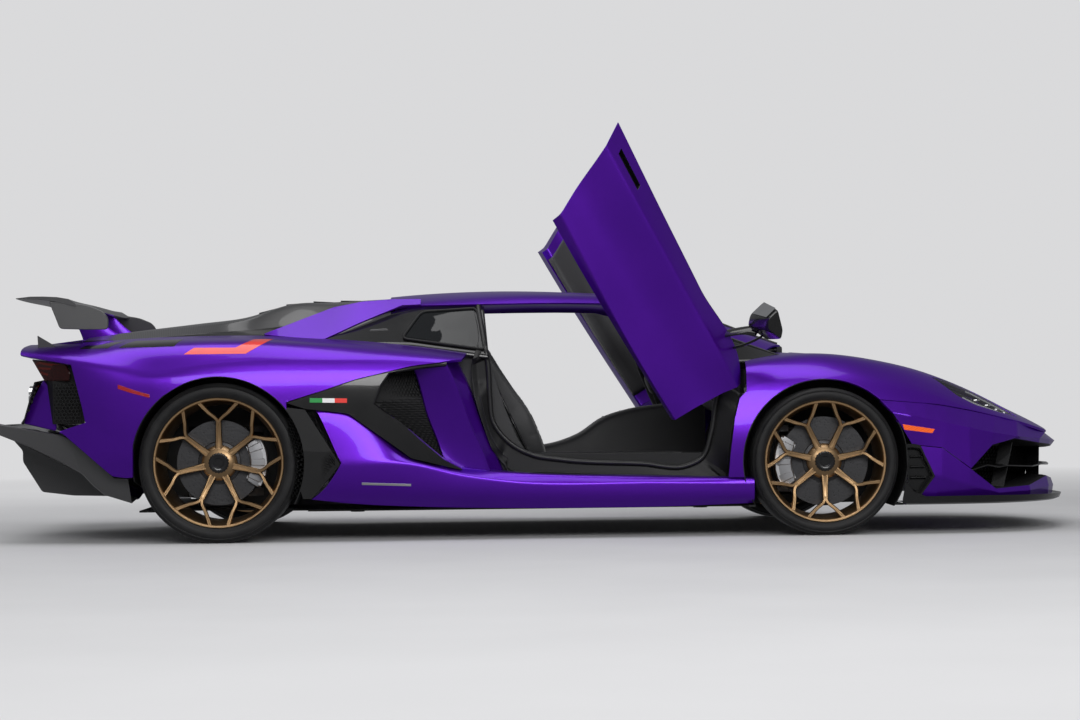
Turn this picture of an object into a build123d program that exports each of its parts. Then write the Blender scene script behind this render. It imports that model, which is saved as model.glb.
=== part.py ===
"""Mid-engined two-seat sports car with scissor doors, stored with both doors raised.

Millimetres. +X is forward, +Y is the car's left and +Z is up. The origin is on the floor, on the
centreline, half way along the car. The left half is modelled and the right half is its mirror image.
"""
from build123d import *
from math import atan2, cos, degrees, hypot, pi, radians, sin
import os

os.makedirs("parts", exist_ok=True)

# ---------------------------------------------------------------- driving dimensions
OVERALL_LENGTH = 4943.0
FRONT_OVERHANG = 1225.0
WHEELBASE = 2700.0
FRONT_AXLE_X = OVERALL_LENGTH / 2 - FRONT_OVERHANG
REAR_AXLE_X = FRONT_AXLE_X - WHEELBASE
NOSE_X = OVERALL_LENGTH / 2
TAIL_X = -OVERALL_LENGTH / 2

SKIN = 14.0              # wall of the outer panels
PANEL_GAP = 4.0          # shut line between neighbouring fixed panels
DOOR_GAP = 6.0           # shut line round the doors and the bonnet

# wheels: tyre width, tyre radius, rim flange radius, distance of the tyre's middle from the centreline
FRONT_TYRE_WIDTH = 255.0
FRONT_TYRE_R = 330.5
FRONT_RIM_R = 270.0
FRONT_HALF_TRACK = 860.0
REAR_TYRE_WIDTH = 345.0
REAR_TYRE_R = 355.5
REAR_RIM_R = 286.0
REAR_HALF_TRACK = 852.0
FRONT_ARCH_R = 370.0
REAR_ARCH_R = 384.0
LINER_WALL = 4.0
FRONT_WELL_Y = 566.0     # outer face of the wheel wells' inner walls
REAR_WELL_Y = 636.0
SPOKES = 7
SPOKE_SPREAD = 17.6      # degrees from a spoke's own line to each of its two arms at the rim
HUB_R = 52.0
STUB_R = 30.0            # fixed stub axle in each hub
STUB_CLEARANCE = 0.05
DISC_R = 200.0
REAR_DISC_R = 190.0
DISC_WALL = 34.0
KINGPIN_INSET = 12.0     # steering axis inboard of the tyre's middle
KINGPIN_R = 14.0
WISHBONE_RISE = 120.0    # height of each wishbone above or below its axle
RIM_INSET = 12.0         # rim lip inside the tyre's side
HUB_DEPTH = 62.0         # from the rim's lip to the hub's inner face
STUB_END = 40.0          # depth of the stub's bore beyond the hub's inner face
CALIPER_OUT = 16.0       # caliper beyond the hub's inner face
CALIPER_SPAN = 30.0      # degrees each way
RUNNING_GAP = 5.0        # between what turns and what stays

# Columns: end of the car, axle x, axle z, tyre's middle y, tyre width, rim radius, disc radius.
WHEELS = (("front", FRONT_AXLE_X, FRONT_TYRE_R, FRONT_HALF_TRACK, FRONT_TYRE_WIDTH, FRONT_RIM_R, DISC_R),
          ("rear", REAR_AXLE_X, REAR_TYRE_R, REAR_HALF_TRACK, REAR_TYRE_WIDTH, REAR_RIM_R, REAR_DISC_R))

# scissor doors
DOOR_HINGE_X = 922.0
DOOR_HINGE_Y = 930.0
DOOR_HINGE_Z = 638.0
DOOR_LEAN = 15.0         # tilt of the hinge axis out of the level, which leans the open door outwards
DOOR_OPENING = 57.8      # degrees
DOOR_WALL = 96.0
ARM_Y = (822.0, 862.0)     # inner and outer side of each door hinge's arm
HINGE_PIN_R = 12.0
BONNET_HINGE_X = 1146.0
BONNET_HINGE_Z = 786.0
BONNET_HINGE_Y = 420.0

ROOF_Z = 1136.0
NOSE_CAP_X = 2306.0
TUB_FRONT_X = 1060.0
JACK_PAD_X = (700.0, -850.0)
JACK_PAD_Y = 780.0
PLATE_HOLE_R = 3.2
EXHAUST_R = 55.0
EXHAUST_Y = 62.0
EXHAUST_Z = 657.0
PLATE_HOLE_SPACING = 200.0
TUB_REAR_X = -560.0
SPLITTER_TOP = 141.0
SPLITTER_WALL = 14.0
SPLITTER_REAR_X = 1600.0
ROOF_WALL = 26.0
GLASS_WALL = 5.0


# ---------------------------------------------------------------- helpers
def wire(points):
    return Wire.make_polygon([Vector(*p) for p in points], close=True)


def loft_of(rings):
    """Ruled loft through closed rings of points, with as many points in each ring."""
    return Solid.make_loft([wire(r) for r in rings], ruled=True)


def prism_y(outline, y0, y1):
    """Side-view outline of (x, z) points, drawn out from y0 to y1."""
    return Solid.extrude(Face(wire([(x, y0, z) for x, z in outline])), Vector(0, y1 - y0, 0))


def prism_z(outline, z0, z1):
    """Plan outline of (x, y) points, drawn up from z0 to z1."""
    return Solid.extrude(Face(wire([(x, y, z0) for x, y in outline])), Vector(0, 0, z1 - z0))


def prism_x(outline, x0, x1):
    """Cross-section of (y, z) points, drawn along from x0 to x1."""
    return Solid.extrude(Face(wire([(x0, y, z) for y, z in outline])), Vector(x1 - x0, 0, 0))


def block(x0, x1, y0, y1, z0, z1):
    return prism_z([(x0, y0), (x1, y0), (x1, y1), (x0, y1)], z0, z1)


def rod(start, end, radius):
    """Round bar between two points."""
    a, b = Vector(*start), Vector(*end)
    return Solid.make_cylinder(radius, (b - a).length, Plane(origin=a, z_dir=(b - a).normalized()))


def disc_y(radius, x, z, y0, y1):
    """Cylinder about a line along Y."""
    return rod((x, y0, z), (x, y1, z), radius)


def turned(profile, x, z):
    """Solid of revolution about the line along Y through (x, z), from (radius, y) points."""
    face = Face(wire([(x + r, y, z) for r, y in profile]))
    return Solid.revolve(face, 360.0, Axis((x, 0, z), (0, 1, 0)))


def mirrored(shape):
    return shape.mirror(Plane.XZ)


def solids_of(shape):
    if isinstance(shape, (list, tuple)):
        return [s for item in shape for s in solids_of(item)]
    return list(shape.solids())


def both(shape):
    """The shape and its mirror image on the other side of the car."""
    return solids_of(shape) + [mirrored(s) for s in solids_of(shape)]


def export(name, shape):
    found = solids_of(shape)
    export_step(found[0] if len(found) == 1 else Compound(children=found), f"parts/{name}.step")


def inward(points, wall):
    """An open chain of 2-D points moved to its right-hand side by the wall, square to the chain."""
    moved = []
    for i, (a, b) in enumerate(points):
        before = points[max(i - 1, 0)]
        after = points[min(i + 1, len(points) - 1)]
        first = (a - before[0], b - before[1]) if i else (after[0] - a, after[1] - b)
        last = (after[0] - a, after[1] - b) if i < len(points) - 1 else first
        n1, n2 = ((v[1] / hypot(*v), -v[0] / hypot(*v)) for v in (first, last))
        mid = (n1[0] + n2[0], n1[1] + n2[1])
        size = hypot(*mid)
        reach = wall / max((n1[0] * mid[0] + n1[1] * mid[1]) / size, 0.5)
        moved.append((a + mid[0] / size * reach, b + mid[1] / size * reach))
    return moved


def skin(stations, wall):
    """Thin panel lofted along the car. Each station is x with a chain of (y, z) points that runs
    from the inner top edge outwards and down, so the wall is added towards the car's inside."""
    rings = []
    for x, chain in stations:
        inner = inward(chain, wall)
        ring = [(x, y, z) for y, z in chain] + [(x, y, z) for y, z in reversed(inner)]
        rings.append(ring)
    return loft_of(rings)


def at_station(stations, x):
    """The chain of (y, z) points at any x, on the straight lines between stations."""
    ordered = sorted(stations)
    for (x0, low), (x1, high) in zip(ordered, ordered[1:]):
        if x0 <= x <= x1:
            t = (x - x0) / (x1 - x0)
            return [(a + t * (c - a), b + t * (d - b)) for (a, b), (c, d) in zip(low, high)]
    raise ValueError(f"no station near x = {x}")


# ---------------------------------------------------------------- body sections
# Columns: x, then (y, z) of the crease beside the bonnet, the wing's crest, its upper side,
# its widest line, its lower side and its bottom edge.
FRONT_SECTIONS = [
    (2471.0, [(140, 392), (420, 380), (600, 358), (760, 325), (800, 240), (800, 127)]),
    (2330.0, [(250, 486), (520, 462), (680, 425), (800, 368), (842, 240), (842, 127)]),
    (2157.0, [(330, 570), (610, 540), (760, 495), (860, 405), (892, 245), (884, 127)]),
    (1919.0, [(420, 664), (700, 650), (850, 560), (935, 435), (945, 250), (930, 127)]),
    (1720.0, [(480, 732), (745, 727), (895, 630), (970, 480), (970, 250), (955, 127)]),
    (1517.0, [(520, 783), (790, 775), (935, 670), (998, 500), (985, 250), (962, 127)]),
    (1246.0, [(560, 815), (830, 810), (955, 710), (1008, 520), (990, 250), (958, 133)]),
    (1063.0, [(600, 828), (850, 798), (955, 700), (1000, 490), (985, 255), (950, 133)]),
    (905.0, [(640, 838), (880, 768), (945, 670), (985, 470), (975, 262), (940, 133)]),
    (800.0, [(650, 842), (872, 745), (938, 640), (974, 470), (967, 262), (936, 133)]),
]
# Columns: x, then z of the bonnet's middle.
BONNET_CROWN = [(2471.0, 402), (2330.0, 506), (2157.0, 598), (1919.0, 691), (1720.0, 757),
                (1517.0, 806), (1246.0, 828), (1063.0, 840), (905.0, 850), (800.0, 854)]
# Columns: x, then (y, z) of the haunch's inner edge, its crest, its upper crease, its widest line,
# its lower side and its bottom edge.
REAR_SECTIONS = [
    (-250.0, [(700, 842), (890, 806), (945, 770), (975, 640), (985, 400), (960, 175)]),
    (-650.0, [(690, 900), (900, 852), (978, 806), (1010, 680), (1015, 400), (985, 165)]),
    (-1007.0, [(745, 908), (930, 872), (1008, 806), (1038, 680), (1038, 400), (1010, 168)]),
    (-1281.0, [(700, 926), (940, 888), (1020, 802), (1049, 680), (1049, 420), (1025, 172)]),
    (-1500.0, [(680, 928), (940, 890), (1024, 790), (1049, 690), (1049, 420), (1025, 190)]),
    (-1750.0, [(670, 924), (930, 882), (1020, 760), (1040, 690), (1035, 420), (1000, 260)]),
    (-2104.0, [(640, 905), (860, 876), (976, 818), (985, 640), (962, 430), (930, 330)]),
    (-2330.0, [(600, 896), (780, 880), (880, 850), (890, 700), (880, 520), (850, 430)]),
]
# Columns: x, then (y, z) of the door's belt, its ridge, its hollow face, its hem and its bottom edge.
DOOR_SECTIONS = [
    (870.0, [(905, 622), (952, 592), (962, 440), (966, 276), (925, 266)]),
    (814.0, [(905, 658), (960, 597), (960, 440), (966, 276), (925, 268)]),
    (400.0, [(905, 705), (964, 626), (946, 450), (958, 290), (915, 279)]),
    (0.0, [(905, 747), (966, 652), (942, 470), (955, 322), (912, 294)]),
    (-440.0, [(905, 797), (966, 683), (940, 500), (950, 362), (912, 322)]),
]
NOSE_PLAN = [(2440, 0), (2425, 250), (2350, 520), (2225, 740), (2060, 875), (1850, 960), (1500, 1020),
             (850, 1020), (850, 0)]
# Columns: x, then (y, z) of the roof's middle, its shoulder, its edge and the foot of its side.
ROOF_SECTIONS = [
    (1205.0, [(0, 836), (360, 832), (640, 818), (800, 786)]),
    (960.0, [(0, 930), (350, 924), (610, 902), (840, 780)]),
    (450.0, [(0, 1108), (330, 1100), (548, 1074), (872, 740)]),
    (57.0, [(0, 1133), (340, 1125), (566, 1092), (872, 770)]),
    (-376.0, [(0, 1136), (340, 1127), (560, 1080), (868, 800)]),
    (-700.0, [(0, 1117), (330, 1107), (530, 1058), (840, 862)]),
    (-1010.0, [(0, 1077), (330, 1067), (520, 1010), (800, 895)]),
]
# Columns: x, then (y, z) of the engine cover's middle, its raised edge and the foot of that edge.
COVER_SECTIONS = [
    (-710.0, [(0, 1090), (400, 1076), (430, 1000)]),
    (-1010.0, [(0, 1072), (420, 1054), (455, 960)]),
    (-1439.0, [(0, 1016), (430, 996), (470, 945)]),
    (-1750.0, [(0, 980), (430, 962), (480, 935)]),
    (-2104.0, [(0, 936), (420, 930), (500, 914)]),
]


# Side-view outlines, in (x, z).
BUMPER_SHUT = [(1519, 604), (1700, 588), (1933, 549), (2157, 500), (2330, 452)]
FENDER_OUTLINE = BUMPER_SHUT + [(2330, 900), (910, 900), (900, 650), (868, 617), (843, 525), (823, 380),
                                (812, 262), (990, 262), (990, 604)]
BUMPER_LOWER = [(2471, 395), (2471, SPLITTER_TOP), (1246, SPLITTER_TOP), (1246, 600)]
BUMPER_OUTLINE = [(x, z - PANEL_GAP) for x, z in BUMPER_SHUT] + BUMPER_LOWER
INTAKE_OUTLINE = [(1929, 286), (2150, 428), (2330, 395), (2500, 300), (2500, 200), (2040, 188)]
FRONT_VENT_OUTLINE = [(1600, 405), (1655, 405), (1745, 255), (1690, 165), (1600, 165)]
TRIM_OUTLINE = [(-1149, 619), (-843, 717), (-600, 772), (-440, 793), (-440, 778), (-700, 734),
                (-765, 612), (-372, 318), (-372, 312), (-601, 366), (-880, 570), (-1063, 591), (-1149, 602)]
QUARTER_OUTLINE = [(-1149, 623), (-843, 721), (-600, 776), (-438, 805), (-330, 812), (-330, 960),
                   (-2340, 960), (-2340, 800), (-2104, 800), (-2044, 538), (-2158, 503), (-2128, 480),
                   (-1921, 301), (-1800, 290), (-1453, 400)]
BLADE_OUTLINE = [(-1290, 905), (-1007, 899), (-646, 1063), (-630, 1063), (-630, 1110), (-1290, 1110)]
DIFFUSER_SIDE = [(-2451, 537), (-2150, 479), (-2128, 462), (-1925, 284), (-1863, 276), (-1847, 182),
                 (-1973, 222), (-2071, 317), (-2279, 433)]
SKIRT_OUTLINE = [(-1063, 587), (-880, 566), (-601, 362), (-372, 308), (-181, 290), (512, 268), (900, 258),
                 (930, 190), (860, 133), (-960, 140), (-1046, 188), (-910, 343)]
VENT_OUTLINE = [(-1151, 598), (-1067, 587), (-914, 343), (-1040, 192), (-1080, 192), (-1151, 420)]
DOOR_OUTLINE = [(806, 262), (512, 272), (-40, 290), (-236, 302), (-256, 365), (-295, 459), (-350, 598),
                (-395, 704), (-431, 798), (-157, 770), (162, 732), (526, 696), (748, 678), (821, 657),
                (862, 622), (837, 525), (817, 380)]
DOOR_POCKET = [(730, 315), (512, 318), (-40, 342), (-205, 368), (-300, 590), (-350, 700), (-150, 716),
               (162, 680), (526, 645), (730, 625)]
HANDLE_OUTLINE = [(-334, 734), (-150, 722), (-150, 702), (-334, 714)]

# Plan outlines, in (x, y).
HEADLAMP_PLAN = [(1775, 640), (1765, 715), (1960, 800), (2175, 715), (2165, 640)]
BONNET_PLAN = [(1215, 0), (1200, 300), (1120, 580), (1246, 556), (1517, 516), (1720, 476), (1919, 416),
               (2157, 326), (2290, 262), (2300, 0)]
SIDE_OPENING = [(-250, 760), (-250, 790), (-292, 1048), (300, 1062), (560, 990), (960, 820), (985, 760)]
DOOR_POST_OUTLINE = [(TUB_REAR_X, 150), (-187, 150), (-187, 300), (-372, 700), (-400, 800), (TUB_REAR_X, 800)]
QUARTER_LIGHT = [(-340, 862), (-620, 912), (-566, 1022), (-345, 1030)]
WINDSCREEN_PLAN = [(1172, 0), (1160, 300), (1090, 590), (480, 500), (455, 300), (450, 0)]


# ---------------------------------------------------------------- front body
def front_skin():
    return skin(FRONT_SECTIONS, SKIN) & prism_z(NOSE_PLAN, 0, 1300)


def whole_half(stations, floor):
    """Solid of one half of the body, from its skin in to the centreline and down to a floor."""
    rings = []
    for x, chain in stations:
        ring = [(x, 0, chain[0][1])] + [(x, y, z) for y, z in chain] + [(x, 0, floor)]
        rings.append(ring)
    return loft_of(rings)


def arch(x, z, radius, y0=500.0, y1=1120.0):
    return disc_y(radius, x, z, y0, y1)


def front_well():
    """Space that one front wheel turns and steers in."""
    return arch(FRONT_AXLE_X, FRONT_TYRE_R, FRONT_ARCH_R, FRONT_WELL_Y)


def rear_well():
    return arch(REAR_AXLE_X, REAR_TYRE_R, REAR_ARCH_R, REAR_WELL_Y)


def front_fender():
    panel = front_skin() & prism_y(FENDER_OUTLINE, 300, 1100)
    panel -= front_well()
    return panel - prism_z(HEADLAMP_PLAN, 450, 900)


def front_bumper():
    half = front_skin() & prism_y(BUMPER_OUTLINE, -10, 1100)
    half -= front_well()
    half -= prism_y(INTAKE_OUTLINE, 200, 1100)
    half -= prism_y(FRONT_VENT_OUTLINE, 700, 1100)
    face = [(2330, 470), (2444, 400), (2450, 250), (2436, 240), (2330, 300)]
    centre = prism_y(face, 0, 300) & prism_z(NOSE_PLAN, 0, 1300)
    return half + centre + nose_cap()


def crown_at(x):
    return at_station([(station, [(0, z)]) for station, z in BONNET_CROWN], x)[0][1]


def nose_cap():
    """Top of the nose between the bonnet's front edge and the front face."""
    places = (NOSE_CAP_X, 2330.0, 2471.0)
    stations = [(x, [(0, crown_at(x)), at_station(FRONT_SECTIONS, x)[0]]) for x in places]
    return skin(stations, 22.0) & prism_z(NOSE_PLAN, 0, 1300)


def front_splitter():
    plan = [(NOSE_X, 0), (2455, 300), (2380, 560), (2240, 780), (2060, 915), (1750, 980), (1602, 985),
            (SPLITTER_REAR_X, 900), (SPLITTER_REAR_X, 0)]
    return prism_z(plan, SPLITTER_TOP - SPLITTER_WALL, SPLITTER_TOP)


def intake_blade():
    upright = prism_y([(1960, 141), (2140, 141), (2240, 400), (2170, 400), (1980, 290)], 560, 575)
    level = prism_z([(2050, 330), (2330, 330), (2290, 560), (2150, 780), (1960, 880), (1900, 780)], 262, 274)
    back = prism_z([(1900, 330), (1935, 330), (1935, 880), (1900, 880)], 141, 430)
    return upright + level + back


def headlamp():
    shell = whole_half(FRONT_SECTIONS, 300) & prism_z(HEADLAMP_PLAN, 560, 900)
    return shell


def bonnet():
    half = []
    for x, crown in BONNET_CROWN:
        y, z = at_station(FRONT_SECTIONS, x)[0]
        half.append((x, [(-y, z), (0, crown), (y, z)]))
    panel = skin(half, 22.0)
    plan = BONNET_PLAN + [(x, -y) for x, y in reversed(BONNET_PLAN) if y]
    panel &= prism_z(plan, 300, 1100)
    for side in (-1, 1):
        arm = prism_y([(1196, 806), (1150, 770), (1132, 770), (1132, 800), (1180, 815)],
                      side * BONNET_HINGE_Y - 11, side * BONNET_HINGE_Y + 11)
        panel += arm
        panel -= disc_y(HINGE_PIN_R + STUB_CLEARANCE, BONNET_HINGE_X, BONNET_HINGE_Z,
                        side * BONNET_HINGE_Y - 20, side * BONNET_HINGE_Y + 20)
    return panel


def luggage_tub():
    outer = block(1290, 1880, -445, 445, 260, 770)
    outer -= block(1300, 1870, -430, 430, 270, 800)
    slope = prism_y([(1290, 800), (1290, 760), (1540, 748), (1900, 590), (1900, 820)], -500, 500)
    return outer - slope


# ---------------------------------------------------------------- cabin
def cabin_tub():
    """Floor, wide sills, bulkheads and posts of the cabin, cleared for the front wheels."""
    shape = block(TUB_REAR_X, TUB_FRONT_X, -800, 800, 138, 170)
    shape += block(TUB_REAR_X, TUB_REAR_X + 40, -800, 800, 150, 820)
    shape += block(TUB_FRONT_X - 30, TUB_FRONT_X, -640, 640, 150, 740)
    for side in (-1, 1):
        y0, y1 = sorted((side * 640, side * 800))
        shape += block(TUB_REAR_X, TUB_FRONT_X, y0, y1, 150, 372)
        shape += block(905, TUB_FRONT_X, y0, y1, 150, 750)
        shape += prism_y(DOOR_POST_OUTLINE, y0, y1)
    for well in both(front_well()):
        shape -= well
    return shape


def roof_shell(wall):
    stations = []
    for x, chain in ROOF_SECTIONS:
        stations.append((x, [(-y, z) for y, z in reversed(chain)] + chain[1:]))
    return skin(stations, wall)


def widened(plan, gap):
    """Both halves of a plan outline, grown sideways and backwards by a gap."""
    half = [(x - gap, y + gap if y else 0) for x, y in plan]
    return half + [(x, -y) for x, y in reversed(half) if y]


def roof_frame():
    """Roof panel, windscreen pillars and the blades that run back beside the engine cover."""
    shell = roof_shell(ROOF_WALL) & block(-704, 1205, -900, 900, 760, 1200)
    shell -= prism_z(widened(WINDSCREEN_PLAN, 0), 700, 1200)
    shell -= prism_z([(1172, 0), (1160, 300), (1090, 590), (1250, 590), (1250, -590), (1090, -590),
                      (1160, -300)], 700, 1200)
    shell -= prism_y(SIDE_OPENING, -1000, 1000)
    shell -= prism_y(QUARTER_LIGHT, -1000, 1000)
    for piece in both(roof_blade()):
        shell += piece
    for piece in both([whole_half(FRONT_SECTIONS, 600), whole_half(REAR_SECTIONS, 600)]):
        shell -= piece
    return shell - prism_z(widened(BONNET_PLAN, DOOR_GAP), 600, 1200) - engine_cover()


def windscreen():
    return roof_shell(GLASS_WALL) & prism_z(widened(WINDSCREEN_PLAN, 0), 700, 1200)


def side_window():
    chain = [at_station(ROOF_SECTIONS, x) for x in (-340, -620)]
    glass = skin([(x, c[1:]) for x, c in zip((-340, -620), chain)], GLASS_WALL)
    return glass & prism_y(QUARTER_LIGHT, 300, 1000)


def rear_window():
    pane = prism_y([(TUB_REAR_X + 20, 820), (TUB_REAR_X + 26, 820), (TUB_REAR_X, 1080),
                    (TUB_REAR_X - 6, 1080)], -500, 500)
    return pane - roof_shell(ROOF_WALL)


def cowl():
    half = prism_z([(1205, 0), (1190, 300), (1110, 575), (1035, 575), (1035, 0)], 740, 752)
    for y in (BONNET_HINGE_Y - 24, BONNET_HINGE_Y + 17):
        half += block(BONNET_HINGE_X - 14, BONNET_HINGE_X + 14, y, y + 7, 750, BONNET_HINGE_Z + 14)
    half += disc_y(HINGE_PIN_R, BONNET_HINGE_X, BONNET_HINGE_Z, BONNET_HINGE_Y - 24, BONNET_HINGE_Y + 24)
    return half + mirrored(half)


def seat():
    base = prism_y([(-60, 170), (380, 170), (430, 330), (400, 350), (-40, 300), (-80, 300)], 170, 600)
    back = prism_y([(-80, 290), (60, 300), (-160, 700), (-250, 880), (-330, 900), (-350, 860)], 190, 580)
    bolsters = prism_y([(-80, 290), (120, 330), (-60, 640), (-200, 690)], 170, 210)
    bolsters += prism_y([(-80, 290), (120, 330), (-60, 640), (-200, 690)], 560, 600)
    return base + back + bolsters


def dashboard():
    profile = [(1030, 600), (900, 560), (760, 600), (720, 700), (800, 780), (960, 800), (1030, 780)]
    return prism_y(profile, -FRONT_WELL_Y, FRONT_WELL_Y)


def steering_wheel():
    plane = Plane(origin=(560, 385, 690), z_dir=(-0.93, 0, 0.37))
    ring = Solid.make_torus(172, 16, plane)
    hub = Solid.make_cylinder(55, 30, Plane(origin=(560, 385, 690), z_dir=(0.93, 0, -0.37)))
    column = rod((575, 385, 684), (790, 385, 600), 26)
    spokes = prism_y([(548, 684), (560, 704), (585, 695), (573, 672)], 385 - 172, 385 + 172)
    return (ring + hub + column + spokes) - dashboard()


def centre_console():
    profile = [(-500, 170), (830, 170), (830, 600), (700, 560), (500, 430), (-200, 400), (-500, 430)]
    return prism_y(profile, -140, 140) - dashboard()


# ---------------------------------------------------------------- doors
def door_pose(shape, side):
    """Swings a door, modelled shut, up to the raised position that the car is stored in."""
    axis = Axis((DOOR_HINGE_X, side * DOOR_HINGE_Y, DOOR_HINGE_Z),
                (0, cos(radians(DOOR_LEAN)), -side * sin(radians(DOOR_LEAN))))
    return shape.rotate(axis, DOOR_OPENING)


def hinge_line(y):
    """Height of the left door's hinge axis at a distance from the centreline."""
    return DOOR_HINGE_Z - (y - DOOR_HINGE_Y) * sin(radians(DOOR_LEAN)) / cos(radians(DOOR_LEAN))


def door_leaf():
    frame = skin(DOOR_SECTIONS, DOOR_WALL) & prism_y(DOOR_OUTLINE, 700, 1100)
    pocket = prism_y(DOOR_POCKET, 700, 1100)
    leaf = (frame - pocket) + (skin(DOOR_SECTIONS, SKIN) & pocket)
    leaf -= prism_y(HANDLE_OUTLINE, 915, 1100)
    reach = ((-133, -122), (-133, -32), (-13, 34), (27, 18), (17, -22), (-63, -122))
    arm = prism_y([(DOOR_HINGE_X + x, DOOR_HINGE_Z + z) for x, z in reach], *ARM_Y)
    ends = [(DOOR_HINGE_X, y, hinge_line(y)) for y in (ARM_Y[0] - 30, ARM_Y[1] + 30)]
    return leaf + arm - rod(*ends, HINGE_PIN_R + STUB_CLEARANCE)


def door_mirror():
    arm = loft_of([[(600, 880, 674), (660, 880, 668), (660, 900, 668), (600, 900, 674)],
                   [(640, 1010, 800), (710, 1010, 800), (710, 1030, 785), (640, 1030, 785)]])
    inner = [(640, 1000, 768), (750, 1000, 812), (712, 1000, 862), (585, 1000, 900), (600, 1000, 807)]
    outer = [(650, 1190, 790), (738, 1190, 822), (705, 1190, 858), (600, 1190, 892), (612, 1190, 818)]
    shell = loft_of([inner, outer])
    return arm + shell - door_leaf()


def hinge_post():
    """Clevis on the tub and the pin that a door swings on."""
    inner, outer = ARM_Y
    reach = ((-18, -32), (-18, 24), (24, 42), (138, 58), (138, -40))
    cheek = [(DOOR_HINGE_X + x, DOOR_HINGE_Z + z) for x, z in reach]
    post = prism_y(cheek, 800, inner - 6) + prism_y(cheek, outer + 6, outer + 18)
    post += block(1000, TUB_FRONT_X, 800, outer + 18, 610, DOOR_HINGE_Z + 58)
    ends = [(DOOR_HINGE_X, y, hinge_line(y)) for y in (804.0, outer + 18)]
    return post + rod(*ends, HINGE_PIN_R) - front_well()


# ---------------------------------------------------------------- sides and rear
def side_skirt():
    stations = []
    for x, top, mid, low in ((930, 975, 985, 940), (-200, 975, 985, 940), (-420, 1005, 1010, 975),
                             (-1070, 1036, 1036, 1005)):
        stations.append([(x, 860, 600), (x, top, 600), (x, mid, 230), (x, low, 130), (x, 860, 130)])
    body = loft_of(stations)
    return (body & prism_y(SKIRT_OUTLINE, 800, 1100)) - front_well() - rear_well()


def rear_skin(wall=SKIN):
    return skin(REAR_SECTIONS, wall)


def rear_quarter():
    panel = rear_skin() & prism_y(QUARTER_OUTLINE, 300, 1100)
    return panel - rear_well()


def intake_trim():
    trim = rear_skin(30.0) & prism_y(TRIM_OUTLINE, 300, 1100)
    return trim - rear_well()


def intake_fin():
    fin = loft_of([[(-243, 968, 298), (-440, 915, 298), (-440, 885, 298), (-243, 938, 298)],
                   [(-441, 958, 790), (-600, 880, 790), (-600, 855, 790), (-441, 928, 790)]])
    return fin - intake_trim() - side_skirt()


def intake_grille():
    """Mesh across the side intake, from the fin out to the trim's inner edge."""
    edges = ((315, -450, 880, -470, 965), (612, -547, 870, -775, 968), (760, -594, 865, -730, 950))
    rings = []
    for z, x0, y0, x1, y1 in edges:
        rings.append([(x0, y0, z), (x1, y1, z), (x1 - 16, y1, z), (x0 - 16, y0, z)])
    return loft_of(rings) - intake_trim() - side_skirt() - rear_quarter()


def rear_vent():
    panel = rear_skin(40.0) & prism_y(VENT_OUTLINE, 800, 1100)
    return panel - rear_well() - side_skirt()


def engine_cover():
    stations = []
    for x, chain in COVER_SECTIONS:
        y, z = at_station(REAR_SECTIONS, x)[0]
        chain = chain + [(y - PANEL_GAP, z)]
        stations.append((x, [(-y, z) for y, z in reversed(chain)] + chain[1:]))
    cover = skin(stations, 16.0)
    for quarter in both(rear_quarter()):
        cover -= quarter
    return cover


def roof_blade():
    """Sloping panel behind each side of the roof, down to the haunch."""
    panel = skin([(-620, [(534, 1078), (850, 850)]), (-965, [(540, 1057), (790, 890)]),
                  (-1275, [(685, 938), (722, 912)])], 18.0)
    return panel & prism_y(BLADE_OUTLINE, 300, 900)


def rear_fascia():
    lip = prism_y([(-2353, 896), (-2108, 912), (-2108, 890), (-2330, 872)], -595, 595)
    fang = loft_of([[(-2262, 800, 735), (-2200, 880, 735), (-2180, 870, 735), (-2240, 780, 735)],
                    [(-2357, 720, 520), (-2190, 900, 520), (-2170, 880, 520), (-2330, 690, 520)]])
    return [lip] + both(fang)


def rear_grille():
    """Slanted mesh panel between the tail lamps, with a bracket for the number plate."""
    grille = prism_y([(-2265, 886), (-2205, 520), (-2185, 520), (-2243, 886)], -850, 850)
    grille += prism_y([(-2284, 846), (-2250, 846), (-2230, 738), (-2284, 738)], -170, 170)
    for side in (-1, 1):
        grille -= rod((-2300, side * EXHAUST_Y, EXHAUST_Z), (-2100, side * EXHAUST_Y, EXHAUST_Z), EXHAUST_R)
        y = side * PLATE_HOLE_SPACING / 2
        grille -= rod((-2300, y, 800), (-2150, y, 800), PLATE_HOLE_R)
    for solid in both(rear_quarter()) + rear_fascia():
        grille -= solid
    return grille


def tail_lamp():
    lamp = prism_y([(-2302, 848), (-2263, 858), (-2257, 800), (-2258, 760), (-2280, 740)], 560, 850)
    return lamp - rear_quarter()


def rear_diffuser():
    slab = prism_y([(-2451, 537), (TAIL_X, 530), (-2300, 420), (-1856, 200), (-1836, 187), (-1836, 200),
                    (-2200, 470)], -760, 760)
    fins = []
    for y in (-560, -340, -120, 120, 340, 560):
        fins.append(prism_y([(-2440, 530), (-2460, 400), (-1990, 200), (-1900, 215)], y - 6, y + 6))
    shelf = [(-2451, 537), (-2150, 479), (-2128, 462), (-1925, 284), (-1863, 276), (-1863, 262), (-1931, 270),
             (-2160, 464), (-2440, 524)]
    for side in (-1, 1):
        fins.append(prism_y(shelf, side * 755, side * 925))
        fins.append(prism_y(DIFFUSER_SIDE, side * 913, side * 925))
    for fin in fins:
        slab += fin
    return slab


def exhaust_pipe():
    pipe = rod((-2440, EXHAUST_Y, EXHAUST_Z), (-2200, EXHAUST_Y, EXHAUST_Z), EXHAUST_R)
    return pipe - rod((-2450, EXHAUST_Y, EXHAUST_Z), (-2215, EXHAUST_Y, EXHAUST_Z), EXHAUST_R - 4)


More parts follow.
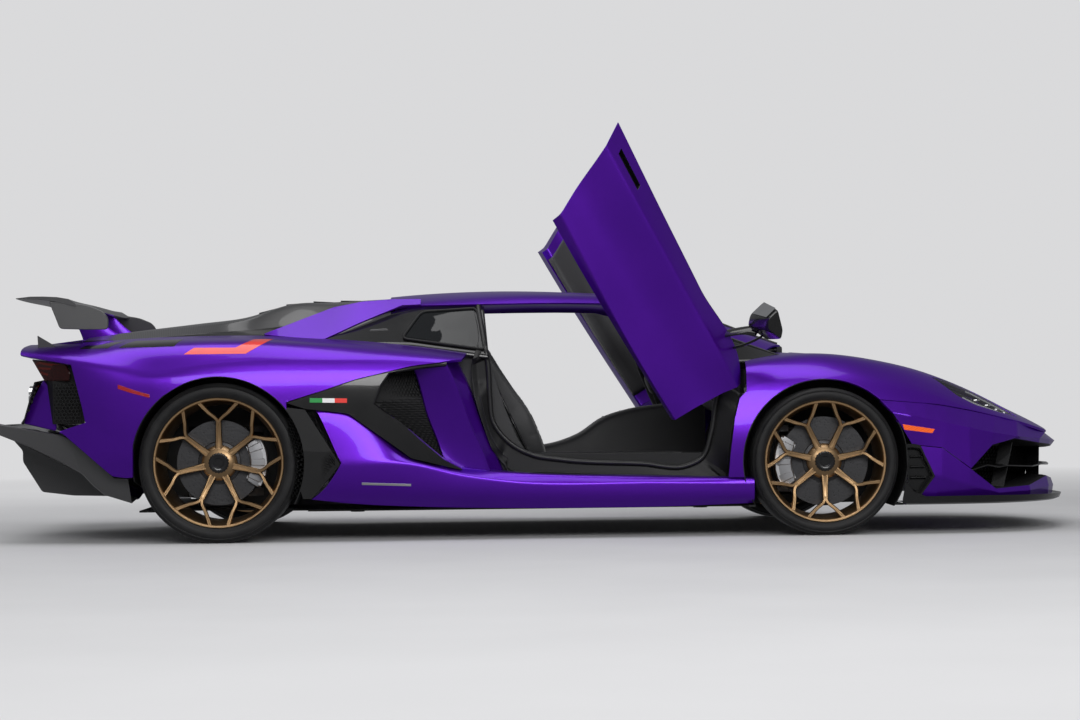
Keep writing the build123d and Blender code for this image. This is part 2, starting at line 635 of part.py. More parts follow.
def rear_wing():
    plane = prism_y([(-2088, 1068), (-2140, 1085), (-2308, 1109), (-2370, 1107), (-2300, 1090),
                     (-2140, 1062), (-2096, 1060)], -884, 884)
    plate = prism_y([(-2228, 1076), (-2004, 1039), (-1953, 978), (-1951, 954), (-2170, 958)], 880, 888)
    return plane + plate + mirrored(plate)


def wing_pylon():
    """One of the two slanted plates that carry the wing."""
    pylon = loft_of([[(-2080, 400, 905), (-1900, 400, 905), (-1900, 416, 905), (-2080, 416, 905)],
                     [(-2260, 400, 1088), (-2115, 400, 1066), (-2115, 416, 1066), (-2260, 416, 1088)]])
    return pylon - whole_half(COVER_SECTIONS, 700) - rear_wing()


# ---------------------------------------------------------------- chassis parts
def underbody():
    plan = [(SPLITTER_REAR_X, 0), (SPLITTER_REAR_X, 940), (905, 940), (880, 860), (-1070, 860), (-1070, 760),
            (-1836, 760), (-1836, 0)]
    half = prism_z(plan, 130, 138)
    for x in JACK_PAD_X:
        half += rod((x, JACK_PAD_Y, 124), (x, JACK_PAD_Y, 132), 32)
    half = half - front_well() - rear_well()
    return half + mirrored(half)


def suspension_window(x, z, y):
    """Opening in a wheel well's inner wall, for the wishbones."""
    return block(x - 170, x + 170, y - 10, y + 20, z - 160, z + 160)


def front_liner():
    wall = front_well() - arch(FRONT_AXLE_X, FRONT_TYRE_R, FRONT_ARCH_R - LINER_WALL,
                               FRONT_WELL_Y + LINER_WALL)
    wall &= whole_half(FRONT_SECTIONS, 138)
    return wall - suspension_window(FRONT_AXLE_X, FRONT_TYRE_R, FRONT_WELL_Y)


def rear_liner():
    wall = rear_well() - arch(REAR_AXLE_X, REAR_TYRE_R, REAR_ARCH_R - LINER_WALL, REAR_WELL_Y + LINER_WALL)
    wall &= whole_half(REAR_SECTIONS, 138)
    return wall - suspension_window(REAR_AXLE_X, REAR_TYRE_R, REAR_WELL_Y)


def engine_block():
    return block(-1620, -720, -300, 300, 138, 760)


# ---------------------------------------------------------------- wheels
def tyre(width, radius, rim_r):
    w = width / 2
    profile = [(rim_r - 8, w - 20), (rim_r, w - 20), (rim_r + 8, w - 6), (radius - 30, w),
               (radius - 8, w - 8), (radius, w - 26)]
    outline = profile + [(r, -y) for r, y in reversed(profile)]
    return outline


def rim(x, z, y_mid, width, rim_r):
    """Barrel, hub and split spokes of one wheel, bored for its stub axle."""
    lip = width / 2 - RIM_INSET
    barrel_profile = [(rim_r, lip), (rim_r, lip - 8), (rim_r - 8, lip - 8), (rim_r - 8, -lip + 8),
                      (rim_r, -lip + 8), (rim_r, -lip), (rim_r - 20, -lip), (rim_r - 30, -lip + 30),
                      (rim_r - 30, lip - 45), (rim_r - 14, lip)]
    dish_profile = [(0, lip - 14), (HUB_R, lip - 14), (HUB_R + 1, lip - 26), (rim_r * 0.65, lip - 16),
                    (rim_r - 10, lip - 3), (rim_r - 10, lip - 28), (rim_r * 0.65, lip - 40),
                    (HUB_R + 30, lip - 50), (HUB_R + 20, lip - HUB_DEPTH), (0, lip - HUB_DEPTH)]
    barrel = turned([(r, y_mid + y) for r, y in barrel_profile], x, z)
    dish = turned([(r, y_mid + y) for r, y in dish_profile], x, z)
    spokes = disc_y(HUB_R + 20, x, z, y_mid + lip - 70, y_mid + lip)
    for n in range(SPOKES):
        spokes += spoke(x, z, y_mid, lip, rim_r, 360.0 * n / SPOKES - 90)
    y_hub = hub_y(y_mid, width)
    bore = disc_y(STUB_R + STUB_CLEARANCE, x, z, y_hub - 20, y_hub + STUB_END)
    return barrel + (spokes & dish) - bore


def spoke(x, z, y_mid, lip, rim_r, angle):
    split, end = rim_r * 0.62, rim_r - 12
    arm = radians(SPOKE_SPREAD)
    points = [(0, 24), (split, 19)]
    points += [(end * cos(arm) - 8, end * sin(arm) + 13), (end * cos(arm) + 4, end * sin(arm) - 13)]
    points += [(split + 34, 0)]
    outline = points + [(a, -b) for a, b in reversed(points) if b]
    turn = radians(angle)
    placed = [(x + a * cos(turn) - b * sin(turn), z + a * sin(turn) + b * cos(turn)) for a, b in outline]
    return prism_y(placed, y_mid + lip - 80, y_mid + lip + 10)


def hub_y(y_mid, width):
    """Inner face of a wheel's hub, against which its brake disc is clamped."""
    return y_mid + width / 2 - RIM_INSET - HUB_DEPTH


def brake_disc(x, z, y_hub, radius):
    ring = disc_y(radius, x, z, y_hub - DISC_WALL, y_hub)
    return ring - disc_y(STUB_R + STUB_CLEARANCE, x, z, y_hub - 60, y_hub + 10)


def ring_sector(x, z, inner, outer, middle, half_angle, y0, y1):
    """Part of a flat ring about a line along Y, centred on an angle in the side view."""
    steps = [middle - half_angle + half_angle * n / 3 for n in range(7)]
    points = [(x + outer * cos(radians(a)), z + outer * sin(radians(a))) for a in steps]
    points += [(x + inner * cos(radians(a)), z + inner * sin(radians(a))) for a in reversed(steps)]
    return prism_y(points, y0, y1)


def caliper(x, z, y_hub, disc_r, middle):
    y0, y1 = y_hub - DISC_WALL - 18, y_hub + CALIPER_OUT
    body = ring_sector(x, z, disc_r - 52, disc_r + 20, middle, CALIPER_SPAN, y0, y1)
    slot = disc_y(disc_r + RUNNING_GAP, x, z, y_hub - DISC_WALL - RUNNING_GAP, y_hub + RUNNING_GAP)
    ear = ring_sector(x, z, 20, disc_r - 20, middle, 14, y0 - 4, y0 + 10)
    return (body - slot) + ear


def front_knuckle():
    x, z, y_hub = FRONT_AXLE_X, FRONT_TYRE_R, hub_y(FRONT_HALF_TRACK, FRONT_TYRE_WIDTH)
    y_pin = FRONT_HALF_TRACK - KINGPIN_INSET
    post = rod((x, y_pin, z - WISHBONE_RISE + 12), (x, y_pin, z + WISHBONE_RISE - 12), 23)
    post += disc_y(62, x, z, y_pin - 20, y_hub - DISC_WALL - RUNNING_GAP)
    post += disc_y(STUB_R, x, z, y_pin, y_hub + STUB_END - 4)
    for up in (-1, 1):
        post -= rod((x, y_pin, z + up * (WISHBONE_RISE - 52)), (x, y_pin, z + up * WISHBONE_RISE),
                    KINGPIN_R + STUB_CLEARANCE)
    return post + caliper(x, z, y_hub, DISC_R, 180)


def rear_knuckle():
    x, z, y_hub = REAR_AXLE_X, REAR_TYRE_R, hub_y(REAR_HALF_TRACK, REAR_TYRE_WIDTH)
    upright = prism_y([(x - 50, z - 150), (x + 50, z - 150), (x + 62, z), (x + 40, z + 150),
                       (x - 40, z + 150), (x - 62, z)], 840, y_hub - DISC_WALL - RUNNING_GAP)
    upright += disc_y(STUB_R, x, z, 840, y_hub + STUB_END - 4)
    return upright + caliper(x, z, y_hub, REAR_DISC_R, 0)


def front_wishbones():
    x, z, y_pin = FRONT_AXLE_X, FRONT_TYRE_R, FRONT_HALF_TRACK - KINGPIN_INSET
    arms = []
    for up in (-1, 1):
        level = z + up * WISHBONE_RISE
        outline = [(x - 150, 500), (x - 105, 500), (x, 730), (x + 105, 500), (x + 150, 500),
                   (x + 18, y_pin), (x - 18, y_pin)]
        arm = prism_z(outline, level - 9, level + 9) + rod((x, y_pin, level - 9), (x, y_pin, level + 9), 24)
        arm += rod((x, y_pin, level), (x, y_pin, level - up * 45), KINGPIN_R)
        arms.append(arm)
    return arms


def rear_wishbones():
    x, z = REAR_AXLE_X, REAR_TYRE_R
    arms = []
    for up in (-1, 1):
        level = z + up * WISHBONE_RISE
        outline = [(x - 170, 352), (x - 125, 352), (x, 720), (x + 125, 352), (x + 170, 352),
                   (x + 30, 840), (x - 30, 840)]
        arms.append(prism_z(outline, level - 9, level + 9))
    return arms


def half_shaft():
    return rod((REAR_AXLE_X, 300, REAR_TYRE_R), (REAR_AXLE_X, 840, REAR_TYRE_R), 22)


def frame_rail(x0, x1, axle_x, axle_z, y0, y1):
    rail = block(x0, x1, y0, y1, 180, 250)
    for dx in (-130, 130):
        rail += block(axle_x + dx - 25, axle_x + dx + 25, y0, y1, 190, axle_z + WISHBONE_RISE + 40)
    return rail


def build():
    for end, x, z, y_mid, width, rim_r, disc_r in WHEELS:
        outline = [(r, y_mid + y) for r, y in tyre(width, z, rim_r)]
        pieces = (("tyre", turned(outline, x, z)), ("rim", rim(x, z, y_mid, width, rim_r)),
                  ("brake_disc", brake_disc(x, z, hub_y(y_mid, width), disc_r)))
        for name, solid in pieces:
            export(f"{name}_{end}_left", solid)
            export(f"{name}_{end}_right", mirrored(solid))
    for side, word in ((1, "left"), (-1, "right")):
        leaf, mirror, knuckle = door_leaf(), door_mirror(), front_knuckle()
        if side < 0:
            leaf, mirror, knuckle = mirrored(leaf), mirrored(mirror), mirrored(knuckle)
        export(f"door_{word}", door_pose(leaf, side))
        export(f"mirror_{word}", door_pose(mirror, side))
        export(f"front_knuckle_{word}", knuckle)
    export("bonnet", bonnet())
    pairs = {
        "front_fenders": front_fender, "headlamps": headlamp, "intake_blades": intake_blade,
        "door_hinges": hinge_post, "seats": seat, "side_skirts": side_skirt, "rear_quarters": rear_quarter,
        "intake_trims": intake_trim, "intake_fins": intake_fin, "tail_lamps": tail_lamp,
        "exhaust_pipes": exhaust_pipe, "rear_knuckles": rear_knuckle,
    }
    for name, make in pairs.items():
        export(name, both(make()))
    singles = {
        "roof_frame": roof_frame, "cabin_tub": cabin_tub, "luggage_tub": luggage_tub,
        "windscreen": windscreen, "cowl": cowl, "dashboard": dashboard, "steering_wheel": steering_wheel,
        "centre_console": centre_console, "engine_cover": engine_cover, "rear_fascia": rear_fascia,
        "rear_grille": rear_grille, "rear_diffuser": rear_diffuser, "underbody": underbody,
        "engine_block": engine_block,
    }
    for name, make in singles.items():
        export(name, make())
    frame = [frame_rail(TUB_FRONT_X, 1900, FRONT_AXLE_X, FRONT_TYRE_R, 445, 500),
             frame_rail(-1836, TUB_REAR_X, REAR_AXLE_X, REAR_TYRE_R, 305, 352)]
    export("chassis_rails", both(frame))
    export("wishbones", both(front_wishbones() + rear_wishbones() + [half_shaft()]))
    export("arch_liners", both([front_liner(), rear_liner()]))
    export("side_meshes", both([intake_grille(), rear_vent()]))
    export("front_bumper", front_bumper() + mirrored(front_bumper()))
    export("front_splitter", front_splitter() + mirrored(front_splitter()))
    export("rear_windows", both(side_window()) + [rear_window()])
    export("rear_wing", [rear_wing()] + both(wing_pylon()))


if __name__ == "__main__":
    build()
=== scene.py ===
"""Finished body, trim, wheels and cabin of a mid-engined two-seat sports car, built round its packed frame.

Lengths in the tables are millimetres: x runs forward, y to the car's left and z up from the floor.
"""

import math

import bmesh
import bpy
import numpy as np
from mathutils import Matrix


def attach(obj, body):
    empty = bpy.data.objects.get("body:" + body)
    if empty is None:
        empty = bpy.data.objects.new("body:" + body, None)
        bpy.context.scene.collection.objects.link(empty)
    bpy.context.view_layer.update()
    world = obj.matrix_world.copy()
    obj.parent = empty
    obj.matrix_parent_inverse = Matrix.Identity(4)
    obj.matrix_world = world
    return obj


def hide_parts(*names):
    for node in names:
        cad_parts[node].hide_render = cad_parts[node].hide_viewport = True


bl_info = {
    "name": "Scissor-door sports car",
    "version": (1, 0, 0),
    "blender": (4, 5, 0),
    "location": "3D View > Sidebar > Sports car",
    "description": "Builds the finished body, wheels and cabin of a sports car round its packed frame",
    "category": "Object",
}

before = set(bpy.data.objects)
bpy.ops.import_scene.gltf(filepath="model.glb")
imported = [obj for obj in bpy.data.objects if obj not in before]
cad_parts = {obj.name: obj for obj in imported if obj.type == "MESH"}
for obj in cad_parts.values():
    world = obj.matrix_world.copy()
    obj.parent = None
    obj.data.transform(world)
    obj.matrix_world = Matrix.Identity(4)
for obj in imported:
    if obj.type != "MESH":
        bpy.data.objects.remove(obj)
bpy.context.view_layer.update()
SIDES = (("left", 1), ("right", -1))
PALE = (0.70, 0.70, 0.71)
MM = 0.001  # metres in a millimetre
MIDDLE_STRIP = 12  # points nearer than this to the middle plane are put on it
BODY_MIDDLE_Z = 560.0  # height of the body's middle, from which its surfaces face away
HEX_ROW = 0.866  # step between rows of a honeycomb, as a share of the cell
# The material made for each finish, by the finish's short name.
FINISHES = {}


def car_settings():
    """The sizes and colours set in the panel."""
    return bpy.context.scene.sports_car


# ---------------------------------------------------------------- curves and surfaces
def glide(knots, values, at):
    """Cubic through values at rising knots. Each tangent is the mean of its two slopes, the nearer
    weighing more."""
    knots, values, at = np.asarray(knots, float), np.asarray(values, float), np.asarray(at, float)
    wide = (-1,) + (1,) * (values.ndim - 1)
    step = np.diff(knots)
    slope = np.diff(values, axis=0) / step.reshape(wide)
    share = (step[1:] / (step[:-1] + step[1:])).reshape(wide)
    tangent = np.concatenate([slope[:1], slope[:-1] * share + slope[1:] * (1 - share), slope[-1:]])
    k = np.clip(np.searchsorted(knots, at) - 1, 0, len(step) - 1)
    h = step[k].reshape(wide)
    t = ((at - knots[k]) / step[k]).reshape(wide)
    return (values[k] * (2 * t**3 - 3 * t**2 + 1) + tangent[k] * h * (t**3 - 2 * t**2 + t)
            + values[k + 1] * (3 * t**2 - 2 * t**3) + tangent[k + 1] * h * (t**3 - t**2))


def smooth_path(points, count):
    """Even samples of the cubic through the points, measured along its chords."""
    points = np.asarray(points, float)
    reach = np.r_[0, np.cumsum(np.linalg.norm(np.diff(points, axis=0), axis=1))]
    return glide(reach, points, np.linspace(0, reach[-1], count))


def runs(points, counts):
    """Samples of a polyline: each run has its own number of even steps, so corners are kept."""
    points = np.asarray(points, float)
    parts = [a + (b - a) * np.linspace(0, 1, n, endpoint=False)[:, None]
             for a, b, n in zip(points[:-1], points[1:], counts)]
    return np.concatenate(parts + [points[-1:]])


class Skin:
    """One half of a body surface. Each station along the car has a chain of (y, z) points from the middle
    outwards; they glide along the car, and cubics join them across it with tangents that break at creases."""

    def __init__(self, stations, crease, soft=0.05):
        rows = sorted(stations)
        self.x = np.array([row[0] for row in rows], float)
        self.chain = np.array([row[1] for row in rows], float)
        self.crease, self.soft, self.last = np.array(crease, float), soft, len(crease) - 1

    def cross(self, columns, s):
        s = np.clip(s, 0, self.last)
        k = np.minimum(s.astype(int), self.last - 1)
        t, i = (s - k)[:, None], np.arange(len(s))
        a, b = columns[i, k], columns[i, k + 1]
        before, after = columns[i, np.maximum(k - 1, 0)], columns[i, np.minimum(k + 2, self.last)]
        ca, cb = self.crease[k][:, None], self.crease[k + 1][:, None]
        ta = (b - a) * ca + (b - before) / 2 * (1 - ca)
        tb = (b - a) * cb + (after - a) / 2 * (1 - cb)
        return (a * (2 * t**3 - 3 * t**2 + 1) + ta * (t**3 - 2 * t**2 + t)
                + b * (3 * t**2 - 2 * t**3) + tb * (t**3 - t**2))

    def at(self, grid):
        """Points of an array of (x, s): three neighbouring samples are averaged, which rounds creases."""
        flat = np.asarray(grid, float).reshape(-1, 2)
        x, s = flat[:, 0], flat[:, 1]
        columns = glide(self.x, self.chain, x)
        around = self.cross(columns, s - self.soft) + self.cross(columns, s + self.soft)
        yz = self.cross(columns, s) / 2 + around / 4
        return np.column_stack([x, yz]).reshape(np.shape(grid)[:-1] + (3,))

    def find(self, line, axis=1):
        """(x, s) of points given as (x, z), or as (x, y) with axis 0, by halving the range of s."""
        line = np.asarray(line, float)
        x, goal = line[:, 0], line[:, 1]
        columns = glide(self.x, self.chain, x)
        sign = 1 if axis == 0 else -1
        low, high = np.zeros(len(x)), np.full(len(x), float(self.last))
        for _ in range(22):
            middle = (low + high) / 2
            less = sign * self.cross(columns, middle)[:, axis] < sign * goal
            low, high = np.where(less, middle, low), np.where(less, high, middle)
        return np.column_stack([x, (low + high) / 2])

    def edge(self, side_line, s):
        """(x, s) where a line drawn in the side view crosses given values of s."""
        side_line = np.asarray(sorted(side_line, key=lambda p: p[1]), float)
        x = np.full(len(s), side_line[:, 0].mean())
        for _ in range(12):
            x = np.interp(self.at(np.column_stack([x, s]))[:, 2], side_line[:, 1], side_line[:, 0])
        return np.column_stack([x, s])


def ladder(rows, steps):
    """Grid between curves of equal length: straight rungs from each curve to the next, steps to a rung."""
    parts = [a[None] + (b - a)[None] * np.linspace(0, 1, n, endpoint=False)[:, None, None]
             for a, b, n in zip(rows[:-1], rows[1:], steps)]
    return np.concatenate(parts + [rows[-1][None]])


def band(skin, rear, front, s0, s1, across, along):
    """Grid between two lines of the side view and two values of s, with its rows along the creases."""
    s = np.linspace(s0, s1, across + 1)
    a, b = skin.edge(rear, s), skin.edge(front, s)
    return a[:, None] + (b - a)[:, None] * np.linspace(0, 1, along + 1)[None, :, None]


def revolve(profile, x, z, segments=128):
    """A profile of (radius, y) turned about the line through (x, z) along y."""
    profile = np.asarray(profile, float)
    angle = np.linspace(0, 2 * np.pi, segments, endpoint=False)
    r, y = profile[:, :1], profile[:, 1:]
    y = np.broadcast_to(y, (len(profile), segments))
    return np.stack([x + r * np.cos(angle), y, z + r * np.sin(angle)], -1)


def sweep(path, profile, up, scale=None):
    """A flat profile of (sideways, up) carried along a path, square to it; scale may vary along the path."""
    path, profile, up = np.asarray(path, float), np.asarray(profile, float), np.asarray(up, float)
    ahead = np.gradient(path, axis=0)
    ahead /= np.linalg.norm(ahead, axis=1, keepdims=True)
    side = np.cross(ahead, np.broadcast_to(up, path.shape))
    side /= np.linalg.norm(side, axis=1, keepdims=True)
    lift = np.cross(side, ahead)
    size = np.ones((len(path), 1)) if scale is None else np.asarray(scale, float).reshape(len(path), -1)
    size = np.broadcast_to(size, (len(path), 2))
    return (path[:, None] + side[:, None] * (profile[None, :, :1] * size[:, None, :1])
            + lift[:, None] * (profile[None, :, 1:] * size[:, None, 1:]))


def ring(radius, count=12, squash=1.0):
    """Profile of a round or flattened bar."""
    a = np.linspace(0, 2 * np.pi, count, endpoint=False)
    return np.column_stack([radius * np.cos(a), radius * squash * np.sin(a)])


def normals_of(grid):
    """Unit normals of a grid, from the cross product of its two sets of differences."""
    n = np.cross(np.gradient(grid, axis=0), np.gradient(grid, axis=1))
    return n / np.maximum(np.linalg.norm(n, axis=-1, keepdims=True), 1e-9)


def facing(grid, centre=None):
    """+1 if a grid's normals point away from the middle of the car, or from a given centre, and -1 if not."""
    if centre is None:
        centre = (grid[..., 0].mean() * 0.9, 0, BODY_MIDDLE_Z)
    middle = np.asarray(centre, float)
    return 1 if (normals_of(grid) * (grid - middle)).sum() > 0 else -1


def lifted(grid, height):
    """A grid moved along its outward normals."""
    return grid + normals_of(grid) * height * facing(grid)


def mirror(grid):
    """A grid's image on the other side of the car."""
    return grid * np.array([1.0, -1.0, 1.0])


def raised(grid, side):
    """A left door's grid, worked out shut, put on its side and swung up about the leaning hinge line."""
    grid = grid * [1, side, 1]
    turn, lean = math.radians(DOOR_OPENING), math.radians(DOOR_LEAN)
    axis = np.array([0, math.cos(lean), -side * math.sin(lean)])
    pivot = np.array([DOOR_PIVOT[0], side * DOOR_PIVOT[1], DOOR_PIVOT[2]])
    arm = grid - pivot
    return (pivot + arm * math.cos(turn) + np.cross(axis, arm) * math.sin(turn)
            + axis * (arm @ axis)[..., None] * (1 - math.cos(turn)))


class Shape:
    """Grids gathered into one mesh. wrap closes a grid along its rows (1), its columns (2) or both (3)."""

    def __init__(self):
        self.points, self.faces, self.tags, self.total = [], [], [], 0

    def grid(self, grid, wrap=0, flip=None, caps=False, tag=0, centre=None):
        rows, columns = grid.shape[:2]
        index = np.arange(rows * columns).reshape(rows, columns)
        if wrap & 1:
            index = np.concatenate([index, index[:, :1]], axis=1)
        if wrap & 2:
            index = np.concatenate([index, index[:1]], axis=0)
        quads = np.stack([index[:-1, :-1], index[1:, :-1], index[1:, 1:], index[:-1, 1:]], -1).reshape(-1, 4)
        if flip is None:
            flip = facing(grid, centre) < 0
        if flip:
            quads = quads[:, ::-1]
        self.faces += (quads + self.total).tolist()
        self.tags += [tag] * len(quads)
        if caps:
            for line, turned in ((index[0, :columns], flip), (index[-1, :columns], not flip)):
                loop = (line + self.total).tolist()
                self.faces.append(loop[::-1] if turned else loop)
                self.tags.append(tag)
        self.points.append(grid.reshape(-1, 3))
        self.total += rows * columns
        return self

    def both(self, grid, **options):
        """A grid and its mirror image. Points close to the middle plane are put on it."""
        grid = grid.copy()
        grid[..., 1] *= np.abs(grid[..., 1]) > MIDDLE_STRIP
        flip = options.pop("flip", None)
        if flip is None:
            flip = facing(grid, options.get("centre")) < 0
        self.grid(grid, flip=flip, **options)
        return self.grid(mirror(grid), flip=not flip, **options)

    def make(self, name, finishes, body="chassis", replaces=(), slot=None, merge=0.05, wall=0.0,
             round_edge=0.0, closed=False, angle=40.0):
        """The mesh as a finished object: doubles merged, wall and rounded edges added, carried by a body. Its
        slot is that of its first finish unless one is named."""
        mesh = bpy.data.meshes.new(name)
        mesh.from_pydata((np.concatenate(self.points) * MM).tolist(), [], self.faces)
        finishes = [finishes] if isinstance(finishes, str) else finishes
        for finish in finishes:
            mesh.materials.append(FINISHES[finish])
        mesh.polygons.foreach_set("material_index", self.tags)
        mesh.update()
        piece = bpy.data.objects.new(name, mesh)
        bpy.context.scene.collection.objects.link(piece)
        merge_doubles(mesh, merge * MM, closed)
        mesh.set_sharp_from_angle(angle=math.radians(angle))
        mesh.polygons.foreach_set("use_smooth", [True] * len(mesh.polygons))
        if wall:
            solid = piece.modifiers.new("wall", "SOLIDIFY")
            solid.thickness, solid.offset, solid.use_even_offset = wall * MM, -1, False
        if round_edge:
            bevel = piece.modifiers.new("edge", "BEVEL")
            bevel.width, bevel.segments, bevel.limit_method = round_edge * MM, 2, "ANGLE"
            bevel.angle_limit, bevel.harden_normals = math.radians(50), True
        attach(piece, body)
        if replaces:
            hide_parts(*([replaces] if isinstance(replaces, str) else replaces))
        return piece


def merge_doubles(mesh, distance, closed):
    """Joins points that lie together, and on a closed shell turns every face outwards."""
    work = bmesh.new()
    work.from_mesh(mesh)
    bmesh.ops.remove_doubles(work, verts=work.verts, dist=distance)
    bmesh.ops.dissolve_degenerate(work, edges=work.edges, dist=distance / 10)
    if closed:
        bmesh.ops.recalc_face_normals(work, faces=work.faces)
    work.to_mesh(mesh)
    work.free()


# ---------------------------------------------------------------- more ways to make a surface
def rounded(outline, radius, count=5):
    """A closed outline with each corner cut back by a radius and bridged by a quadratic curve."""
    p = np.asarray(outline, float)
    back, on = np.roll(p, 1, 0) - p, np.roll(p, -1, 0) - p
    a, b = (p + way * np.minimum(radius / np.linalg.norm(way, axis=1, keepdims=True), 0.45)
            for way in (back, on))
    t = np.linspace(0, 1, count)[:, None]
    curve = (1 - t) ** 2 * a[:, None] + 2 * t * (1 - t) * p[:, None] + t**2 * b[:, None]
    return curve.reshape(-1, p.shape[1])


def drawn_in(outline, depth):
    """A closed outline of (x, z) moved inwards, each point square to the line between its neighbours."""
    p = np.asarray(outline, float)
    along = np.roll(p, -1, 0) - np.roll(p, 1, 0)
    normal = np.column_stack([-along[:, 1], along[:, 0]]) / np.linalg.norm(along, axis=1, keepdims=True)
    area = (p[:, 0] * np.roll(p[:, 1], -1) - p[:, 1] * np.roll(p[:, 0], -1)).sum()
    return p + normal * depth * np.sign(area)


def slab(outline, near, far, edge=2.0, corner=0.0, lean=(0.0, 0.0)):
    """Rings of a flat piece from y = near to y = far, drawn in by the edge at both faces. y may also lean
    with the distance in x and z from the outline's middle."""
    line = rounded(outline, corner) if corner else np.asarray(outline, float)
    small, middle = drawn_in(line, edge), np.mean(line, axis=0)
    inward = edge * np.sign(far - near)
    rings = []
    for ring, y in ((small, near), (line, near + inward), (line, far - inward), (small, far)):
        rings.append(np.column_stack([ring[:, 0], y + (ring - middle) @ np.array(lean), ring[:, 1]]))
    return np.stack(rings)


def honeycomb(corners, cell, bar, depth):
    """Open hexagons over a four-cornered sheet, as rings of six: outer, inner, and inner drawn back by the
    depth."""
    c = np.asarray(corners, float)
    wide, high = np.linalg.norm(c[1] - c[0]), np.linalg.norm(c[3] - c[0])
    i, j = np.meshgrid(np.arange(int(wide / cell)), np.arange(int(high / cell / HEX_ROW)))
    middle = np.stack([(i + 0.5 + 0.5 * (j % 2)) * cell / wide, (j + 0.5) * cell * HEX_ROW / high], -1)
    middle = middle.reshape(-1, 1, 1, 2)
    a = np.arange(6) * np.pi / 3 + np.pi / 6
    ring = np.stack([np.cos(a) / wide, np.sin(a) / high], -1)
    reach = np.array([cell, cell - bar, cell - bar]).reshape(1, 3, 1, 1) / math.sqrt(3)
    u, v = np.moveaxis(middle + ring * reach, -1, 0)[..., None]
    flat = c[0] * (1 - u) * (1 - v) + c[1] * u * (1 - v) + c[2] * u * v + c[3] * (1 - u) * v
    back = np.cross(c[1] - c[0], c[3] - c[0])
    flat[:, 2] -= back / np.linalg.norm(back) * depth
    return flat


def cells_shape(sheets):
    """One mesh of many hexagon rings and their mirror image; the rings of a sheet are joined as arrays."""
    shape = Shape()
    for sheet in sheets:
        start = (np.arange(len(sheet)) * 18)[:, None, None, None] + (np.arange(2) * 6)[None, :, None, None]
        k = np.arange(6)[:, None]
        quad = np.concatenate([k, (k + 1) % 6, (k + 1) % 6 + 6, k + 6], 1)
        quads = (start + quad[None, None]).reshape(-1, 4)
        shape.faces += (quads + shape.total).tolist()
        shape.tags += [0] * len(quads)
        shape.points.append(sheet.reshape(-1, 3))
        shape.total += sheet.size // 3
    shape.points += [mirror(p) for p in shape.points]
    shape.faces += [[i + shape.total for i in face][::-1] for face in shape.faces]
    shape.tags *= 2
    return shape


def tube(path, radius, up=(0, 0, 1), count=10, squash=1.0):
    """Round bar along a path, as rings."""
    return sweep(path, ring(radius, count, squash), up)


def patch(skin, low, high, across, along, lift=0.0):
    """Part of a skin between two side-view lines of (x, z) points, which have as many runs as each other."""
    lines = [skin.find(runs(line, along)) for line in (low, high)]
    return lifted(skin.at(ladder(lines, [across])), lift)


def closed_pair(name, finish, *grids, **options):
    """A closed piece on both sides of the car, from grids of rings with a cap at each end."""
    shape = Shape()
    for grid in grids:
        shape.both(grid, wrap=1, caps=True)
    return shape.make(name, finish, closed=True, **options)


def painted_panel(name, node, grids, edge=2.0):
    """The painted skin that stands for a body panel, on both sides of the car."""
    shape = Shape()
    for grid in grids:
        shape.both(grid)
    return shape.make(name, "paint", replaces=node, merge=0.4, wall=12, round_edge=edge)


# ---------------------------------------------------------------- finishes
class Value:
    """A number on the surface. Each arithmetic operator adds the Math node that it stands for."""

    def __init__(self, finish, socket):
        self.finish, self.socket = finish, socket

    def maths(self, operation, *values):
        sockets = [v.socket if isinstance(v, Value) else v for v in values]
        return self.finish.add("ShaderNodeMath", {"operation": operation}, dict(enumerate(sockets)))

    def __add__(self, other):
        return self.maths("ADD", self, other)

    def __sub__(self, other):
        return self.maths("SUBTRACT", self, other)

    def __rsub__(self, other):
        return self.maths("SUBTRACT", other, self)

    def __mul__(self, other):
        return self.maths("MULTIPLY", self, other)

    def __pow__(self, other):
        return self.maths("POWER", self, other)

    def __lt__(self, other):
        return self.maths("LESS_THAN", self, other)

    def wave(self):
        return self.maths("SINE", self)

    def limited(self):
        return self.finish.add("ShaderNodeClamp", {}, {0: self.socket})

    __radd__, __rmul__ = __add__, __mul__


